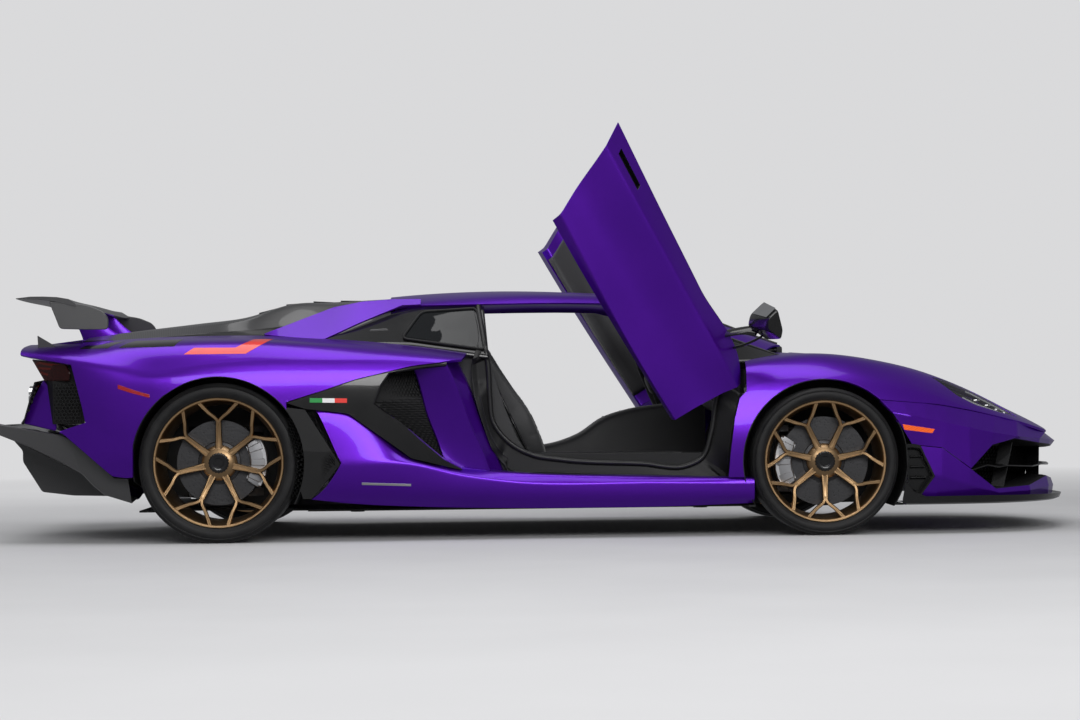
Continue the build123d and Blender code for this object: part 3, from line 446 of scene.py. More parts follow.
class Finish:
    """One material: a Principled shader whose varying inputs are worked out from Object coordinates."""

    def __init__(self, name, color, rough, metal=0.0, coat=0.0, coat_rough=0.03, **plain):
        self.material = bpy.data.materials.new(name)
        self.material.use_nodes = True
        self.tree = self.material.node_tree
        self.shader = self.tree.nodes["Principled BSDF"]
        self.place = self.tree.nodes.new("ShaderNodeTexCoord").outputs["Object"]
        self.set("Base Color", color if len(color) == 4 else (*color, 1))
        self.set("Roughness", rough).set("Metallic", metal)
        self.set("Coat Weight", coat).set("Coat Roughness", coat_rough)
        for name, value in plain.items():
            self.set(name.replace("_", " "), value)

    def set(self, name, value):
        self.put(self.shader.inputs[name], value)
        return self

    def put(self, socket, value):
        value = value.socket if isinstance(value, Value) else value
        if isinstance(value, bpy.types.NodeSocket):
            self.tree.links.new(value, socket)
        else:
            socket.default_value = value

    def add(self, kind, settings, inputs, output=0):
        """A node with its settings, then its inputs by name or number, as a value of its output."""
        node = self.tree.nodes.new(kind)
        for name, value in settings.items():
            setattr(node, name, value)
        for name, value in inputs.items():
            self.put(node.inputs[name], value)
        return Value(self, node.outputs[output])

    def axes(self, turn=(0, 0, 0), scale=(1, 1, 1)):
        """x, y and z of the surface in metres, after a turn and a scale."""
        placed = self.add("ShaderNodeMapping", {}, {"Vector": self.place, "Rotation": turn, "Scale": scale})
        split = self.tree.nodes.new("ShaderNodeSeparateXYZ")
        self.put(split.inputs[0], placed)
        return [Value(self, socket) for socket in split.outputs]

    def noise(self, scale, detail=3.0, rough=0.5):
        return self.add("ShaderNodeTexNoise", {}, {"Vector": self.place, "Scale": scale, "Detail": detail,
                                                   "Roughness": rough})

    def cells(self, scale, output=0):
        """Distance to the nearest of many scattered points, or with output 1 that point's random colour."""
        return self.add("ShaderNodeTexVoronoi", {}, {"Vector": self.place, "Scale": scale}, output)

    def between(self, share, low, high):
        """A colour that moves from low to high with the share."""
        node = self.tree.nodes.new("ShaderNodeMix")
        node.data_type = "RGBA"
        for socket, value in ((node.inputs[0], share), (node.inputs[6], low), (node.inputs[7], high)):
            self.put(socket, (*value, 1) if isinstance(value, tuple) and len(value) == 3 else value)
        return Value(self, node.outputs[2])

    def bump(self, height, strength, distance):
        inputs = {"Strength": strength, "Distance": distance, "Height": height}
        return self.set("Normal", self.add("ShaderNodeBump", {}, inputs))


def shade(colour, factor, more=0.0):
    """A colour made darker or lighter."""
    return tuple(min(1.0, c * factor + more) for c in colour)


def pearl_paint(colour):
    """Violet base under clear lacquer: fine metal flakes and broad clouding shift its shade and its gloss."""
    f = Finish("body_paint", (*colour, 1), 0.3, metal=0.8, coat=0.4, coat_rough=0.03, Coat_IOR=1.4)
    flake = f.cells(2600.0, 1)
    bright = f.add("ShaderNodeSeparateColor", {}, {0: flake})
    cloud = f.noise(2.2, 2.0)
    light = (min(1, colour[0] * 1.45 + 0.01), colour[1] * 1.7 + 0.001, min(1, colour[2] * 1.2))
    share = ((cloud - 0.5) * 0.5 + 0.35 + (bright - 0.5) * 0.35).limited()
    tone = f.between(share, shade(colour, 0.82), light)
    f.set("Base Color", tone)
    f.set("Roughness", 0.33 + (bright - 0.5) * 0.10 + (cloud - 0.5) * 0.05)
    return f.bump(bright * 0.6 + f.noise(900.0, 1.0) * 0.4, 0.035, 0.0006).material


def plain_black(name, tone, rough, coat, grain):
    """Moulded black: a fine pebble grain, faint scuffs and a slightly uneven gloss."""
    f = Finish(name, (tone, tone, tone * 1.05, 1), rough, coat=coat, Specular_IOR_Level=0.3)
    dust, pebble = f.noise(9.0, 5.0, 0.6), f.cells(grain)
    low, high = (tone * 0.8, tone * 0.8, tone * 0.85), (tone * 1.35, tone * 1.35, tone * 1.4)
    f.set("Base Color", f.between(dust, low, high))
    f.set("Roughness", (rough - 0.05) + dust * 0.12)
    return f.bump(pebble, 0.12 if coat < 0.5 else 0.015, 0.0006).material


def plain_colour(name, colour):
    """Film in one colour, a little uneven, under the lacquer."""
    f = Finish(name, (*colour, 1), 0.3, coat=0.8)
    f.set("Base Color", f.between(f.noise(20.0), shade(colour, 0.88), shade(colour, 1.08)))
    return f.bump(f.noise(300.0), 0.03, 0.0004).material


def woven_laminate(name, low, high, coat, pitch):
    """Twill cloth under clear resin: threads cross in x and y, and each row is shifted by one thread."""
    f = Finish(name, (*low, 1), 0.35, coat=coat)
    x, y, z = f.axes(turn=(0, 0, math.radians(45)))
    u, v = x * (1 / pitch), (y + z * 0.7) * (1 / pitch)
    diagonal = f.add("ShaderNodeMath", {"operation": "PINGPONG"}, {0: u + v, 1: 1.0})
    threads = (u * math.tau).wave() * (v * math.tau).wave() * 0.25 + 0.5
    share = (diagonal * 0.65 + threads * 0.35).limited()
    f.set("Base Color", f.between(share, low, high))
    f.set("Roughness", 0.42 - share * 0.14)
    return f.bump(threads, 0.12, 0.0004).material


def smoked_glass(name, colour, alpha):
    """Tinted pane: clear in front, denser and more mirror-like at a slant."""
    f = Finish(name, (*colour, 1), 0.02, coat=0.12, Specular_IOR_Level=0.25)
    slant = f.add("ShaderNodeLayerWeight", {}, {"Blend": 0.35}, 1)
    f.set("Alpha", (alpha + slant * (1 - alpha) * 0.8).limited())
    f.set("Base Color", f.between(f.noise(5.0, 2.0), shade(colour, 0.8), shade(colour, 1.25)))
    f.material.surface_render_method = "BLENDED"
    return f.material


def lamp_glass(name, colour, glow):
    """Moulded lamp cover: ribbed lens lines under a clear coat, with a little light of its own."""
    f = Finish(name, (*colour, 1), 0.12, coat=1.0)
    x, y, z = f.axes()
    rib = (y * 900.0).wave() * (z * 900.0 + x * 300.0).wave()
    tone = f.between((rib * 0.5 + 0.5).limited(), shade(colour, 0.45), colour)
    f.set("Base Color", tone).set("Emission Color", tone).set("Emission Strength", glow)
    return f.bump(rib, 0.3, 0.0008).material


def grained_hide(name, colour):
    """Black hide or suede: pebbled creases, paler on the high points."""
    f = Finish(name, (*colour, 1), 0.62, Sheen_Weight=0.25, Sheen_Roughness=0.5)
    pebble, wear = f.cells(520.0), f.noise(6.0, 4.0)
    f.set("Base Color", f.between((pebble * 0.6 + wear * 0.5).limited(), colour, shade(colour, 1.9, 0.004)))
    f.set("Roughness", 0.5 + wear * 0.25)
    return f.bump(pebble + f.noise(160.0) * 0.5, 0.3, 0.0008).material


def metal(name, colour, rough, brushed=0.0, coat=0.0):
    """Bare or lacquered metal: fine grain, drawn out sideways where it is brushed, and faint stains."""
    f = Finish(name, (*colour, 1), rough, metal=1.0, coat=coat)
    stain = f.noise(7.0, 4.0, 0.6)
    x, y, z = f.axes(scale=(1, 1, 1 + 40 * brushed))
    joined = f.add("ShaderNodeCombineXYZ", {}, {0: x, 1: y, 2: z})
    scratch = f.add("ShaderNodeTexNoise", {}, {"Vector": joined, "Scale": 400.0, "Detail": 2.0})
    f.set("Base Color", f.between(stain, shade(colour, 0.82), shade(colour, 1.1)))
    f.set("Roughness", (rough - 0.06) + stain * 0.1 + scratch * 0.06)
    return f.bump(scratch, 0.05 + 0.1 * brushed, 0.0004).material


def tyre_rubber():
    """Black rubber, greyer where it is dusty, with fine moulding lines."""
    f = Finish("tyre_rubber", (0.012, 0.012, 0.013, 1), 0.62, Specular_IOR_Level=0.25)
    dust, fine = f.noise(14.0, 5.0, 0.65), f.noise(420.0, 2.0)
    share = (dust * 1.3 - 0.3).limited()
    f.set("Base Color", f.between(share, (0.006, 0.006, 0.007), (0.022, 0.0215, 0.021)))
    f.set("Roughness", 0.42 + dust * 0.25)
    return f.bump(fine, 0.15, 0.0006).material


def brake_ring(name, colour):
    """Machined ring: dark pits like drilled holes over fine turned lines."""
    f = Finish(name, (*colour, 1), 0.4, metal=0.5)
    drilled_pits_and_shade, turned = f.cells(85.0), f.noise(260.0, 2.0)
    face = f.between(turned, colour, shade(colour, 1.7))
    # the near-black in the drilled pits is painted shade, not the disc's own colour
    f.set("Base Color", f.between(drilled_pits_and_shade < 0.16, face, (0.004, 0.004, 0.004)))
    f.set("Roughness", 0.32 + turned * 0.2)
    return f.bump(drilled_pits_and_shade, 0.4, 0.001).material


def floor_finish():
    """Pale matt floor with faint clouding, which fades into the pale surroundings far from the car."""
    f = Finish("pale_floor", (0.62, 0.62, 0.63, 1), 0.7)
    f.set("Base Color", f.between(f.noise(1.3, 4.0), (0.58, 0.58, 0.59), (0.66, 0.66, 0.67)))
    f.bump(f.noise(60.0), 0.05, 0.001)
    x, y, _ = f.axes()
    away = ((x * x + y * y) ** 0.5 - 4.0) * 0.16
    glow = f.add("ShaderNodeEmission", {}, {"Color": (*PALE, 1), "Strength": 1.0})
    mixed = f.add("ShaderNodeMixShader", {}, {0: away.limited(), 1: f.shader.outputs[0], 2: glow})
    f.put(f.tree.nodes["Material Output"].inputs[0], mixed)
    return f.material


# ---------------------------------------------------------------- body tables
FRONT_HUB, FRONT_ARCH, FRONT_TYRE = (1246.5, 330.5), 370.0, (860.0, 255.0, 330.5, 270.0)
REAR_HUB, REAR_ARCH, REAR_TYRE = (-1453.5, 355.5), 384.0, (852.0, 345.0, 355.5, 286.0)
DOOR_PIVOT, DOOR_LEAN, DOOR_OPENING = (922.0, 930.0, 638.0), 15.0, 57.8

# x, then (y, z) of the edge beside the bonnet, the wing's crest, its upper side, its widest line,
# its lower side and its bottom.
FRONT = Skin([
    (2471, [(140, 392), (420, 380), (600, 358), (760, 325), (800, 240), (800, 127)]),
    (2330, [(250, 486), (520, 462), (680, 425), (800, 368), (842, 240), (842, 127)]),
    (2157, [(330, 570), (610, 542), (760, 495), (860, 405), (892, 245), (884, 127)]),
    (1919, [(420, 664), (700, 654), (850, 562), (935, 435), (945, 250), (930, 127)]),
    (1720, [(480, 732), (745, 729), (895, 630), (970, 480), (970, 250), (955, 127)]),
    (1517, [(520, 783), (790, 777), (935, 672), (998, 500), (985, 250), (962, 127)]),
    (1246, [(560, 815), (830, 811), (955, 712), (1010, 520), (990, 250), (958, 133)]),
    (1063, [(600, 828), (850, 798), (955, 700), (1002, 490), (985, 255), (950, 133)]),
    (905, [(640, 838), (880, 768), (945, 670), (985, 470), (975, 262), (940, 133)]),
    (800, [(650, 842), (872, 745), (938, 640), (974, 470), (967, 262), (936, 133)]),
], (1, 0.35, 0.45, 0.1, 0.1, 1), 0.16)
# x, then (y, z) of the bonnet's middle, its crease, its shoulder and its edge.
BONNET = Skin([
    (2304, [(0, 516), (110, 512), (200, 503), (258, 490)]),
    (2157, [(0, 592), (150, 590), (255, 580), (326, 567)]),
    (1919, [(0, 686), (190, 688), (330, 678), (416, 661)]),
    (1720, [(0, 752), (215, 756), (380, 744), (476, 729)]),
    (1517, [(0, 800), (235, 803), (415, 793), (516, 780)]),
    (1246, [(0, 825), (250, 826), (450, 821), (556, 812)]),
    (1120, [(0, 835), (265, 835), (470, 829), (580, 821)]),
], (1, 0.8, 0.4, 1), 0.08)
# x, then (y, z) of the haunch's inner edge, its crest, its upper crease, its widest line, its lower side
# and its bottom.
REAR = Skin([
    (-250, [(700, 842), (890, 806), (945, 770), (975, 640), (985, 400), (960, 175)]),
    (-650, [(690, 900), (900, 852), (978, 806), (1010, 680), (1015, 400), (985, 165)]),
    (-1007, [(745, 908), (930, 876), (1008, 808), (1038, 680), (1038, 400), (1010, 168)]),
    (-1281, [(700, 926), (940, 892), (1020, 806), (1049, 680), (1049, 420), (1025, 172)]),
    (-1500, [(680, 928), (940, 893), (1024, 792), (1049, 690), (1049, 420), (1025, 190)]),
    (-1750, [(670, 924), (930, 884), (1020, 765), (1040, 690), (1035, 420), (1000, 260)]),
    (-2104, [(640, 905), (860, 878), (976, 818), (985, 640), (962, 430), (930, 330)]),
    (-2340, [(600, 896), (780, 880), (880, 850), (890, 700), (880, 520), (850, 430)]),
], (1, 0.3, 0.5, 0.2, 0.1, 1), 0.16)
# x, then (y, z) of the door's belt, its ridge, its hollow face, its lower crease and its tucked-in hem.
DOOR = Skin([
    (870, [(905, 622), (952, 592), (962, 440), (966, 276), (925, 266)]),
    (814, [(905, 658), (960, 597), (958, 440), (966, 276), (925, 268)]),
    (400, [(905, 705), (964, 626), (944, 450), (958, 290), (915, 279)]),
    (0, [(905, 747), (966, 652), (940, 470), (955, 322), (912, 294)]),
    (-440, [(905, 797), (966, 683), (938, 500), (950, 362), (912, 322)]),
], (1, 0.85, 0.0, 0.85, 1), 0.05)
DOOR_REAR = [(-431, 798), (-395, 704), (-350, 598), (-295, 459), (-256, 365), (-236, 302), (-230, 280)]
DOOR_FRONT = [(880, 660), (862, 622), (837, 525), (817, 380), (806, 262), (804, 240)]
# x, then (y, z) of the roof's middle, its shoulder, its edge and the foot of its side.
ROOF = Skin([
    (1205, [(0, 836), (360, 832), (640, 818), (800, 786)]),
    (960, [(0, 930), (350, 924), (610, 902), (840, 780)]),
    (700, [(0, 1030), (345, 1023), (584, 998), (862, 752)]),
    (450, [(0, 1100), (330, 1093), (556, 1066), (872, 740)]),
    (57, [(0, 1133), (340, 1125), (566, 1092), (872, 770)]),
    (-376, [(0, 1136), (340, 1127), (560, 1080), (868, 800)]),
    (-700, [(0, 1117), (330, 1107), (530, 1058), (840, 862)]),
    (-1010, [(0, 1077), (330, 1067), (520, 1010), (800, 895)]),
], (1, 0.2, 0.6, 1), 0.1)


# ---------------------------------------------------------------- front body
def bonnet_grid():
    """Half bonnet: rungs from the centreline out to the edge, with the creases along its length."""
    rear = BONNET.find([(1208, 0.5), (1198, 250), (1150, 480), (1124, 574)], axis=0)
    s = np.linspace(0, 3, 37)
    x_rear = np.interp(s, rear[:, 1], rear[:, 0])
    x_front = 2300 - 6 * (s / 3) ** 2
    t = np.linspace(0, 1, 97)
    x = x_rear[:, None] + (x_front - x_rear)[:, None] * t
    return BONNET.at(np.stack([x, np.broadcast_to(s[:, None], x.shape)], -1))


def arc(hub, radius, start, end, count):
    """(x, z) points of an arc about a hub, between two angles in degrees."""
    a = np.radians(np.linspace(start, end, count + 1))
    return np.column_stack([hub[0] + radius * np.cos(a), hub[1] + radius * np.sin(a)])


def rail(x0, x1, s0, s1, count):
    """Straight line of (x, s)."""
    t = np.linspace(0, 1, count + 1)[:, None]
    return np.array([x0, s0]) + (np.array([x1, s1]) - np.array([x0, s0])) * t


def joined(*lines):
    """Lines that share their end points, as one line."""
    return np.concatenate([line[:-1] for line in lines[:-1]] + [lines[-1]])


LAMP_LOW = [(1765, 1.15), (1870, 1.62), (1960, 1.76), (2080, 1.72), (2175, 1.45)]
LAMP_TOP = [(1765, 1.15), (1870, 0.85), (1960, 0.80), (2080, 1.0), (2175, 1.45)]
LAMP_STEPS = (14, 12, 16, 12)
NOSE_STEPS = (26,) + LAMP_STEPS + (18,)


def fender_grids():
    """Wing in three grids: rungs from the wheel arch out to the panel's edge, and two runs of rungs to the
    nose that part round the headlamp."""
    arch = joined(arc(FRONT_HUB, FRONT_ARCH, 190.7, 150, 40), arc(FRONT_HUB, FRONT_ARCH, 150, 130, 22),
                  arc(FRONT_HUB, FRONT_ARCH, 130, 90, 44), arc(FRONT_HUB, FRONT_ARCH, 90, 47.7, 46))
    strip = FRONT.find(runs([(812, 262), (823, 380), (843, 525), (868, 617)], (14, 15, 11)))
    post = FRONT.find(runs([(868, 617), (900, 650)], (6,)))
    outer = joined(strip, post, rail(900, 908, post[-1, 1], 0, 16), rail(908, 1246, 0, 0, 44),
                   rail(1246, 1560, 0, 0, 46))
    low = FRONT.find(arch)
    main = ladder([low, low + (outer - low) * 0.6, outer], [20, 18])
    shut = FRONT.find(runs([(1495.5, 604), (1765, 580), (1870, 562), (1960, 544), (2080, 517), (2175, 496),
                            (2330, 452)], NOSE_STEPS))
    start = low[-1] + (outer[-1] - low[-1]) * 0.6
    under, over = (runs([start] + line + [(2330, 0.6)], NOSE_STEPS) for line in (LAMP_LOW, LAMP_TOP))
    edge = runs([(x, 0) for x in (1560, 1765, 1870, 1960, 2080, 2175, 2330)], NOSE_STEPS)
    return [FRONT.at(g) for g in (main, ladder([shut, under], [20]), ladder([over, edge], [18]))]


# Lines of the bumper from the wheel arch to the middle of the nose, as (x, y, z): under the wing's shut line,
# along the ridge, and down the side to the intake and along the intake's top.
BUMPER_SHUT = [(1497, 0, 600), (1600, 0, 592), (1700, 0, 584), (1800, 0, 570), (1933, 0, 545), (2045, 0, 521),
               (2157, 0, 496), (2334, 556, 447), (2336, 400, 468), (2332, 254, 484), (2307, 120, 508),
               (2304, 0, 511)]
BUMPER_RIDGE = [(1547, 996, 545), (1625, 990, 532), (1700, 980, 516), (1800, 962, 494), (1900, 940, 473),
                (2020, 890, 449), (2145, 812, 429), (2286, 640, 415), (2380, 430, 406), (2443, 250, 398),
                (2455, 120, 395), (2457, 0, 394)]
BUMPER_EDGE = [(1572, 992, 508), (1636, 976, 402), (1674, 972, 397), (1774, 962, 386), (1908, 936, 290),
               (2017, 880, 394), (2134, 806, 420), (2286, 622, 396), (2380, 414, 385), (2425, 246, 374),
               (2437, 120, 370), (2439, 0, 368)]
# The same below: from the side crease along the intake's lower edge, the lower crease, and the bottom edge.
LIP_TOP = [(1672, 973, 394), (1774, 963, 383), (1905, 938, 288), (2028, 888, 196), (2207, 756, 205),
           (2338, 536, 241), (2420, 262, 222), (2436, 0, 214)]
LIP_CREASE = [(1738, 970, 257), (1770, 966, 252), (1905, 935, 215), (2040, 886, 178), (2212, 762, 184),
              (2346, 544, 196), (2430, 266, 190), (2446, 0, 186)]
LIP_BOTTOM = [(1676, 952, 174), (1741, 944, 154), (1900, 912, 150), (2050, 868, 150), (2210, 748, 150),
              (2344, 530, 150), (2426, 258, 150), (2440, 0, 150)]
BUMPER_STEPS, LIP_STEPS = (12, 12, 14, 16, 14, 16, 24, 18, 18, 14, 14), (12, 18, 20, 26, 28, 30, 28)


def bumper_grids():
    """Bumper in two grids of straight rungs: above the intake, and the lip below it."""
    shut = np.array(BUMPER_SHUT, float)
    side = FRONT.at(FRONT.find(shut[:7, [0, 2]] + [0, 4]))
    shut[:7, 1] = side[:, 1]
    upper = [runs(line, BUMPER_STEPS) for line in (shut, BUMPER_RIDGE, BUMPER_EDGE)]
    lower = [runs(line, LIP_STEPS) for line in (LIP_TOP, LIP_CREASE, LIP_BOTTOM)]
    return [ladder(upper, [12, 12]), ladder(lower, [10, 8])]


def cling(grid, line, height=1.0):
    """(x, z) points laid on a grid: y is the mean of the nearest grid points, weighted by nearness."""
    flat = lifted(grid, height).reshape(-1, 3)
    line = np.asarray(line, float)
    away = np.linalg.norm(flat[None, :, [0, 2]] - line.reshape(-1, 1, 2), axis=-1)
    near = np.argsort(away, axis=1)[:, :6]
    weight = 1 / (np.take_along_axis(away, near, 1) + 0.5) ** 2
    y = (flat[near, 1] * weight).sum(1) / weight.sum(1)
    return np.stack([line[..., 0], y.reshape(line.shape[:-1]), line[..., 1]], -1)


# ---------------------------------------------------------------- cabin shell
def windscreen_grid():
    """Pane between the cowl and the roof's front edge, on the roof's own surface."""
    foot = ROOF.find(runs([(1155, 1), (1142, 300), (1082, 588)], (16, 14)), axis=0)
    head = ROOF.find(runs([(452, 1), (457, 300), (487, 516)], (16, 14)), axis=0)
    return lifted(ROOF.at(ladder([head, foot], [40])), -3)


# ---------------------------------------------------------------- doors
DOOR_ACROSS, DOOR_ALONG, SLOT_ROWS, SLOT_COLUMNS = 64, 110, (7, 11), (7, 23)


def door_grids():
    """Outer skin along the creases, open at the handle's slot, then the rim and the inner face, with the
    door shut. The slot's own grid comes second, then the two faces alone."""
    outer = DOOR.at(band(DOOR, DOOR_REAR, DOOR_FRONT, 0, 4, DOOR_ACROSS, DOOR_ALONG))
    middle = outer.mean(axis=(0, 1))
    inner = middle + (outer - middle) * [0.925, 1, 0.86] - [0, 84, 0]
    (r0, r1), (c0, c1) = SLOT_ROWS, SLOT_COLUMNS
    grids = [(outer[:r0 + 1], 0), (outer[r1:], 0), (outer[r0:r1 + 1, :c0 + 1], 0), (outer[r0:r1 + 1, c1:], 0)]
    edges = [(outer[0], inner[0]), (outer[-1], inner[-1]), (outer[:, 0], inner[:, 0]),
             (outer[:, -1], inner[:, -1])]
    grids += [(np.stack([a, a * 0.5 + b * 0.5, b]), 0) for a, b in edges]
    hole = outer[r0:r1 + 1, c0:c1 + 1]
    loop = np.concatenate([hole[0, :-1], hole[:-1, -1], hole[-1, :0:-1], hole[:0:-1, 0]])
    core = loop.mean(axis=0)
    shrunk = core + (loop - core) * [0.97, 1, 0.90]
    deep = shrunk - [0, 46, 4]
    slot = ladder([loop, shrunk - [0, 4, 0], deep, core - [0, 46, 4] + (deep - core + [0, 46, 4]) * 0.05],
                  [1, 4, 3])
    return grids + [(inner, 0)], slot, outer, inner


# ---------------------------------------------------------------- rear body
def quarter_grids():
    """Haunch in two grids: rungs from the side trim and the wheel arch up to the deck's edge, and the tongue
    above the tail lamp."""
    front = REAR.find(runs([(-420, 800), (-600, 776), (-843, 721), (-1149, 623)], (14, 18, 22)))
    drop = REAR.find(runs([(-1149, 623), (-1149, 590)], (4,)))
    arch = REAR.find(joined(arc(REAR_HUB, REAR_ARCH, 37.5, 90, 46), arc(REAR_HUB, REAR_ARCH, 90, 140, 44),
                            arc(REAR_HUB, REAR_ARCH, 140, 168, 26)))
    tail = REAR.find(runs([(-1829, 435), (-1853, 435), (-2040, 540)], (3, 20)))
    low = joined(front, drop, arch, tail)
    top = joined(rail(-335, -520, 0, 0, 14), rail(-520, -800, 0, 0, 18), rail(-800, -1130, 0, 0, 22),
                 rail(-1130, -1160, 0, 0, 4), rail(-1160, -1453, 0, 0, 46), rail(-1453, -1740, 0, 0, 44),
                 rail(-1740, -1900, 0, 0, 26), rail(-1900, -1930, 0, 0, 3), rail(-1930, -2104, 0, 0, 20))
    corner = REAR.find([(-2104, 800)])[0, 1]
    s = np.linspace(1.5, corner, len(top))
    middle = np.column_stack([low[:, 0] * 0.45 + top[:, 0] * 0.55, s])
    t = np.linspace(0, 1, 46)[:, None] ** 2
    middle[-46:] = middle[-46:] * (1 - t) + np.array([-2104, corner]) * t
    tongue_low = REAR.find(runs([(-2104, 800), (-2120, 803), (-2300, 838), (-2345, 852)], (2, 22, 4)))
    tongue_top = rail(-2104, -2348, 0, 0, 28)
    fold = runs([(-1829, 435), (-1853, 435), (-2040, 540), (-2158, 504)], (3, 20, 10))
    foot = runs([(-1833, 296), (-1863, 291), (-1921, 299), (-2128, 478), (-2158, 502)], (3, 6, 16, 8))
    facet = REAR.at(ladder([REAR.find(fold), REAR.find(foot)], [12]))
    facet[:, :, 1] += 9 * np.linspace(0, 1, 13)[:, None]
    return [REAR.at(ladder([low, middle, top], [22, 22])), REAR.at(ladder([tongue_low, tongue_top], [16])),
            facet]


# ---------------------------------------------------------------- wheels
def tyre_profile(width, radius, bead):
    """Closed profile of (radius, y): beads, bulged sides with a rib, rounded shoulders and four grooves."""
    w, wall = width / 2, radius - bead
    side = glide([0, 1, 2, 3, 4, 5], [(bead - 6, w - 24), (bead + 3, w - 15), (bead + wall * 0.28, w - 2.5),
                                      (bead + wall * 0.55, w - 0.5), (radius - 15, w - 6),
                                      (radius - 4, w - 17)], np.linspace(0, 5, 26))
    rib = np.array([[bead + wall * 0.72, w - 1.5], [bead + wall * 0.745, w + 0.0],
                    [bead + wall * 0.77, w - 2.6]])
    side = np.concatenate([side[side[:, 0] < rib[0, 0] - 0.5], rib, side[side[:, 0] > rib[-1, 0] + 0.5]])
    tread = [(radius - 1.2, w - 30)]
    for y in (0.66 * w, 0.24 * w, -0.24 * w, -0.66 * w):
        tread += [(radius - 0.4, y + 6), (radius - 6.5, y + 4.5), (radius - 6.5, y - 4.5),
                  (radius - 0.4, y - 6)]
    tread += [(radius - 1.2, -w + 30)]
    back = side[::-1] * [1, -1]
    return np.concatenate([side, np.array(tread, float), back])


def spoke_grid(hub, angle, line, widths, tops, depths, channel=0.0):
    """One arm: a chamfered section, with a channel in its face if asked, along a line of (out, across)."""
    line, n = np.asarray(line, float), len(line)
    ahead = np.gradient(line, axis=0)
    ahead /= np.linalg.norm(ahead, axis=1, keepdims=True)
    side = np.column_stack([-ahead[:, 1], ahead[:, 0]])
    t = np.linspace(0, 1, n)
    w, top, deep = (np.interp(t, np.linspace(0, 1, len(v)), v)[:, None] for v in (widths, tops, depths))
    c, drop = channel * w, 4.5 * np.sin(np.pi * t)[:, None] * (channel > 0)
    across = [-w * 0.36, -w / 2, -w / 2 + 3.5, -c, -c + 1, c - 1, c, w / 2 - 3.5, w / 2, w * 0.36]
    height = [top - deep, top - 6, top, top, top - drop, top - drop, top, top, top - 6, top - deep]
    across, height = np.concatenate(across, 1), np.concatenate(height, 1)
    flat = line[:, None] + side[:, None] * across[..., None]
    t = math.radians(angle)
    x = hub[0] + flat[..., 0] * math.cos(t) - flat[..., 1] * math.sin(t)
    z = hub[1] + flat[..., 0] * math.sin(t) + flat[..., 1] * math.cos(t)
    return np.stack([x, height, z], -1)


LIP_INSET = 12  # the rim's lips stand this far inside the tyre's sides
CAP_SEGMENTS, CAP_RIBS = 140, 20


def rim_shape(hub, middle, width, bead, spokes, spread, first):
    """Barrel and hub turned about the axle, with split spokes: each arm parts in two before the rim."""
    lip, inner, shape = middle + width / 2 - LIP_INSET, middle - width / 2 + LIP_INSET, Shape()
    face = np.array([(bead + 2, lip - 8), (bead + 3, lip - 2), (bead, lip + 1), (bead - 6, lip + 0.5),
                     (bead - 9, lip - 2), (bead - 12, lip - 10), (bead - 17, lip - 26), (bead - 26, lip - 60),
                     (bead - 28, inner + 60), (bead - 20, inner + 20), (bead - 8, inner + 8),
                     (bead - 5, inner), (bead + 2, inner)], float)
    back = face[::-1] + [6, 0]
    back[:, 1] = np.clip(back[:, 1], inner + 1, lip - 9)
    shape.grid(revolve(np.concatenate([face, back]), *hub, 144), wrap=3, flip=False)
    reach, split = bead - 8, bead * 0.63
    tops = [lip - 27, lip - 22, lip - 16]
    for n in range(spokes):
        angle = first + 360.0 * n / spokes
        line = np.column_stack([np.linspace(50, split + 6, 22), np.zeros(22)])
        shape.grid(spoke_grid(hub, angle, line, (36, 27, 25), tops, (40, 36, 32), 0.2), wrap=1, caps=True,
                   flip=False)
        for turn in (-1, 1):
            end = reach * np.array([math.cos(spread), turn * math.sin(spread)])
            halfway = end * 0.5 + np.array([split + 4, turn * 5]) * 0.5
            arm = smooth_path([(split - 12, 0), (split + 8, turn * 6), halfway, end], 22)
            arm_tops = (tops[-1] - 0.5, lip - 8, lip - 2.5)
            shape.grid(spoke_grid(hub, angle, arm, (15, 17, 20), arm_tops, (30, 30, 26)), wrap=1, caps=True,
                       flip=False)
    core = [(0, lip - 14), (34, lip - 14), (44, lip - 18), (56, lip - 22), (70, lip - 30), (78, lip - 40),
            (80, lip - 60), (0.1, lip - 61)]
    return shape.grid(revolve(core, *hub, 96), wrap=1, flip=False)


def hub_cap(hub, middle, width):
    """Bare centre lock: a ribbed nut round a shallow dished cap."""
    lip = middle + width / 2 - LIP_INSET
    grid = revolve([(0.1, lip - 8), (20, lip - 8), (23, lip - 5), (27, lip - 5), (30, lip - 4), (38, lip - 4),
                    (41, lip - 7), (45, lip - 9), (47, lip - 20), (50, lip - 22)], *hub, CAP_SEGMENTS)
    a = np.arange(CAP_SEGMENTS) * 2 * np.pi / CAP_SEGMENTS
    ribs = np.where(np.cos(a * CAP_RIBS) > 0, 1.0, 0.955)
    for axis, centre in ((0, hub[0]), (2, hub[1])):
        grid[6:9, :, axis] = centre + (grid[6:9, :, axis] - centre) * ribs
    return Shape().grid(grid, wrap=1, flip=False)


def make_wheels():
    """Tyres, rims and hub caps, made for the left side and mirrored."""
    settings = car_settings()
    for end, hub, (middle, width, radius, bead), first in (("front", FRONT_HUB, FRONT_TYRE, -90.0),
                                                           ("rear", REAR_HUB, REAR_TYRE, 90.0)):
        for word, side in SIDES:
            tyre = Shape().grid(revolve(tyre_profile(width, radius, bead) + [0, middle], *hub, 180), wrap=3,
                                flip=False)
            rim = rim_shape(hub, middle, width, bead, settings.spokes, settings.spread, first)
            for kind, shape, finish, angle in (("tyre", tyre, "tyre", 38), ("rim", rim, "rim", 32),
                                               ("hub_cap", hub_cap(hub, middle, width), "gloss", 30)):
                shape.points = [p * [1, side, 1] for p in shape.points]
                name = f"{kind}_{end}_{word}"
                node = () if kind == "hub_cap" else name
                shape.make(f"{name}_finished", finish, f"wheel_{end}_{word}", node, closed=True, angle=angle)


